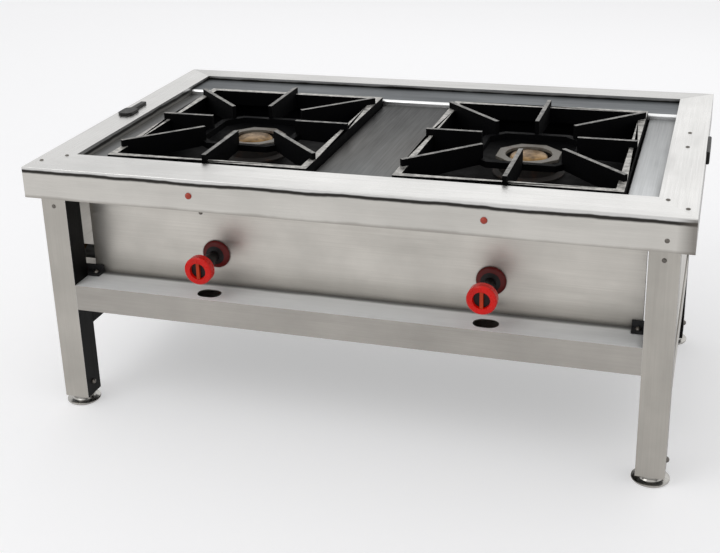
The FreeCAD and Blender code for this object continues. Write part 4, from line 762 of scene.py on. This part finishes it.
class KnobOperator(bpy.types.Operator):
    """Finish the knobs, their bezels and spindles, and the valves behind them."""

    bl_idname = "pot_range.knobs"
    bl_label = "Knobs"

    def execute(self, context):
        plastic = settings("plastic")
        red = moulded_plastic("moulded_phenolic_red", plastic.knob, 0.24, 0.06)
        # Painted highlight: the grip bar across the knob's face is painted orange.
        bar = moulded_plastic("moulded_phenolic_worn_bar", plastic.grip_bar_highlight, 0.3)
        # Painted shade in the knob's recess.
        dark = moulded_plastic("moulded_phenolic_recess", plastic.recess, 0.45)
        bezel = moulded_plastic("moulded_phenolic_bezel", plastic.bezel, 0.3)
        neck = moulded_plastic("moulded_phenolic_neck", plastic.neck, 0.4)
        brass = turned_brass("turned_brass_fitting", settings("iron").brass, 0.3)
        for side, sense in SIDES:
            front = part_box(f"knob_{side}")[0].y

            def off_axis(centre):
                return math.hypot(centre.x - sense * KNOB.x, centre.z - KNOB.z)

            def in_recess(centre, top):
                return off_axis(centre) < RECESS_RADIUS and top < centre.y - front < RECESS_FLOOR

            def on_bar(centre, normal):
                return in_recess(centre, BAR_TOP) and abs(centre.x - sense * KNOB.x) < BAR_HALF_WIDTH

            knob = softened(f"knob_{side}", f"red_knob_{side}", KNOB_EDGE, red)
            paint_faces(knob, dark, lambda centre, normal: in_recess(centre, RECESS_TOP))
            paint_faces(knob, bar, on_bar)
            paint_faces(knob, neck, lambda centre, normal: centre.y - front > HEAD_BACK)
            rose = softened(f"knob_bezel_{side}", f"round_bezel_{side}", BEZEL_EDGE, bezel)
            paint_faces(rose, neck, lambda centre, normal: off_axis(centre) < SLEEVE_RADIUS)
            softened(f"valve_spindle_{side}", f"brass_spindle_{side}", TURNED_EDGE, brass)
            softened(f"gas_valve_{side}", f"brass_gas_valve_{side}", PLATE_EDGE, brass)
            softened(f"injector_{side}", f"brass_injector_{side}", SMALL_BRASS_EDGE, brass)
        return {"FINISHED"}


class SmallPartsOperator(bpy.types.Operator):
    """Finish the pipework, grips, brackets, studs and screws."""

    bl_idname = "pot_range.small_parts"
    bl_label = "Pipework, grips and screws"

    def execute(self, context):
        steel = settings("steel")
        plastic = settings("plastic")
        zinc = plated_steel("zinc_plated_steel", steel.zinc, 0.4)
        screw = plated_steel("plated_screw_steel", steel.screw, 0.32)
        brass = turned_brass("turned_brass_fitting", settings("iron").brass, 0.3)
        stud = moulded_plastic("moulded_red_stud", plastic.stud, 0.2, 0.4)
        grip = moulded_plastic("moulded_black_grip", plastic.grip, 0.42)
        bracket = black_enamel("black_painted_bracket", plastic.bracket, 0.4, 0.003, 0.0002)
        for node in ("leg_plugs", "leg_plates", "support_bar_front", "support_bar_rear", "nut_strip"):
            softened(node, f"zinc_{node}", SHEET_EDGE, zinc)
        for node in ("gas_manifold", "manifold_cap", "manifold_clips"):
            softened(node, f"zinc_{node}", TURNED_EDGE, zinc)
        softened("gas_inlet_nipple", "brass_inlet_nipple", TURNED_EDGE, brass)
        softened("rail_brackets", "painted_rail_brackets", PLATE_EDGE, bracket)
        softened("small_screws", "dome_head_screws", NO_ROUNDING, screw)
        softened("bolts", "dome_head_bolts", NO_ROUNDING, screw)
        softened("apron_studs", "red_apron_studs", NO_ROUNDING, stud)
        for side, _ in SIDES:
            softened(f"side_grip_{side}", f"black_side_grip_{side}", GRIP_EDGE, grip)
        return {"FINISHED"}


# ---------------------------------------------------------------- the stage

def area_lamp(name, place, target, width, height, power):
    """A soft rectangular lamp that points at a place."""
    data = bpy.data.lights.new(name, "AREA")
    data.shape = "RECTANGLE"
    data.size = width
    data.size_y = height
    data.energy = power
    lamp = bpy.data.objects.new(name, data)
    bpy.context.scene.collection.objects.link(lamp)
    lamp.location = place
    lamp.rotation_euler = (Vector(target) - Vector(place)).to_track_quat("-Z", "Y").to_euler()


def shown_directly(tree):
    """1 for what the camera, a reflection or a refraction sees, else 0."""
    path = add_node(tree, "ShaderNodeLightPath")
    first = add_node(tree, "ShaderNodeMath", {
        0: path.outputs["Is Camera Ray"], 1: path.outputs["Is Glossy Ray"]}, operation="MAXIMUM")
    return add_node(tree, "ShaderNodeMath", {
        0: first.outputs[0], 1: path.outputs["Is Transmission Ray"]}, operation="MAXIMUM").outputs[0]


class StageOperator(bpy.types.Operator):
    """Make the floor, the lamps, the white surroundings and the camera."""

    bl_idname = "pot_range.stage"
    bl_label = "Stage"

    def execute(self, context):
        studio = settings("studio")
        scene = context.scene
        scene.view_settings.view_transform = "Standard"
        world = bpy.data.worlds.new("white_surroundings")
        scene.world = world
        world.use_nodes = True
        tree = world.node_tree
        strength = ramp(tree, shown_directly(tree), 0.0, 1.0, studio.daylight, 1.0)
        background = tree.nodes["Background"]
        background.inputs["Color"].default_value = (1, 1, 1, 1)
        tree.links.new(strength, background.inputs["Strength"])
        deselect_all()
        # The floor lies a hair under the feet, so the two faces don't coincide.
        bpy.ops.mesh.primitive_plane_add(size=40, location=(0, 0, -0.0004))
        floor = context.active_object
        floor.name = "studio_floor"
        floor.data.materials.append(self.floor_material(studio))
        area_lamp(
            "key_lamp", place=(-1.6, -2.2, 2.9), target=(0, 0, 0.3),
            width=1.8, height=1.8, power=studio.key_power)
        area_lamp(
            "back_lamp", place=(0.2, 3.0, 1.9), target=(0, 0, 0.45),
            width=4.2, height=1.5, power=studio.back_power)
        data = bpy.data.cameras.new("camera")
        data.lens = studio.lens
        data.sensor_width = 36
        data.shift_x, data.shift_y = studio.shift
        camera = bpy.data.objects.new("camera", data)
        scene.collection.objects.link(camera)
        camera.location = studio.place
        camera.rotation_euler = Euler(studio.heading)
        scene.camera = camera
        return {"FINISHED"}

    def floor_material(self, studio):
        """Matt white paper that keeps a light shadow."""
        material, tree, shader = new_material("matt_white_paper")
        shader.inputs["Base Color"].default_value = studio.floor
        shader.inputs["Roughness"].default_value = 0.9
        shader.inputs["Emission Color"].default_value = (1, 1, 1, 1)
        glow = ramp(tree, shown_directly(tree), 0, 1, 0, studio.floor_glow)
        tree.links.new(glow, shader.inputs["Emission Strength"])
        return material


class SidebarPanel(bpy.types.Panel):
    """Everything that the range is made of."""

    bl_idname = "POT_RANGE_PT_pieces"
    bl_label = "Pot range"
    bl_space_type = "VIEW_3D"
    bl_region_type = "UI"
    bl_category = "Pot range"

    def draw(self, context):
        for name in SETTINGS:
            group = settings(name)
            box = self.layout.box()
            for prop in group.bl_rna.properties:
                if prop.identifier not in ("rna_type", "name"):
                    box.prop(group, prop.identifier)
        for operator in OPERATORS:
            self.layout.operator(operator.bl_idname)


SETTINGS = {
    "steel": SteelSettings,
    "iron": IronSettings,
    "plastic": PlasticSettings,
    "studio": StudioSettings,
}
OPERATORS = (
    StageOperator, RimOperator, DeckOperator, TubeOperator, FootOperator, SupportOperator,
    BurnerOperator, KnobOperator, SmallPartsOperator,
)


def register():
    for group in SETTINGS.values():
        bpy.utils.register_class(group)
    for name, group in SETTINGS.items():
        setattr(bpy.types.Scene, "pot_range_" + name, PointerProperty(type=group))
    for operator in OPERATORS:
        bpy.utils.register_class(operator)
    bpy.utils.register_class(SidebarPanel)


def unregister():
    bpy.utils.unregister_class(SidebarPanel)
    for operator in reversed(OPERATORS):
        bpy.utils.unregister_class(operator)
    for name in SETTINGS:
        delattr(bpy.types.Scene, "pot_range_" + name)
    for group in SETTINGS.values():
        bpy.utils.unregister_class(group)


def main():
    register()
    for operator in OPERATORS:
        category, name = operator.bl_idname.split(".")
        getattr(getattr(bpy.ops, category), name)()


if __name__ == "__main__":
    main()
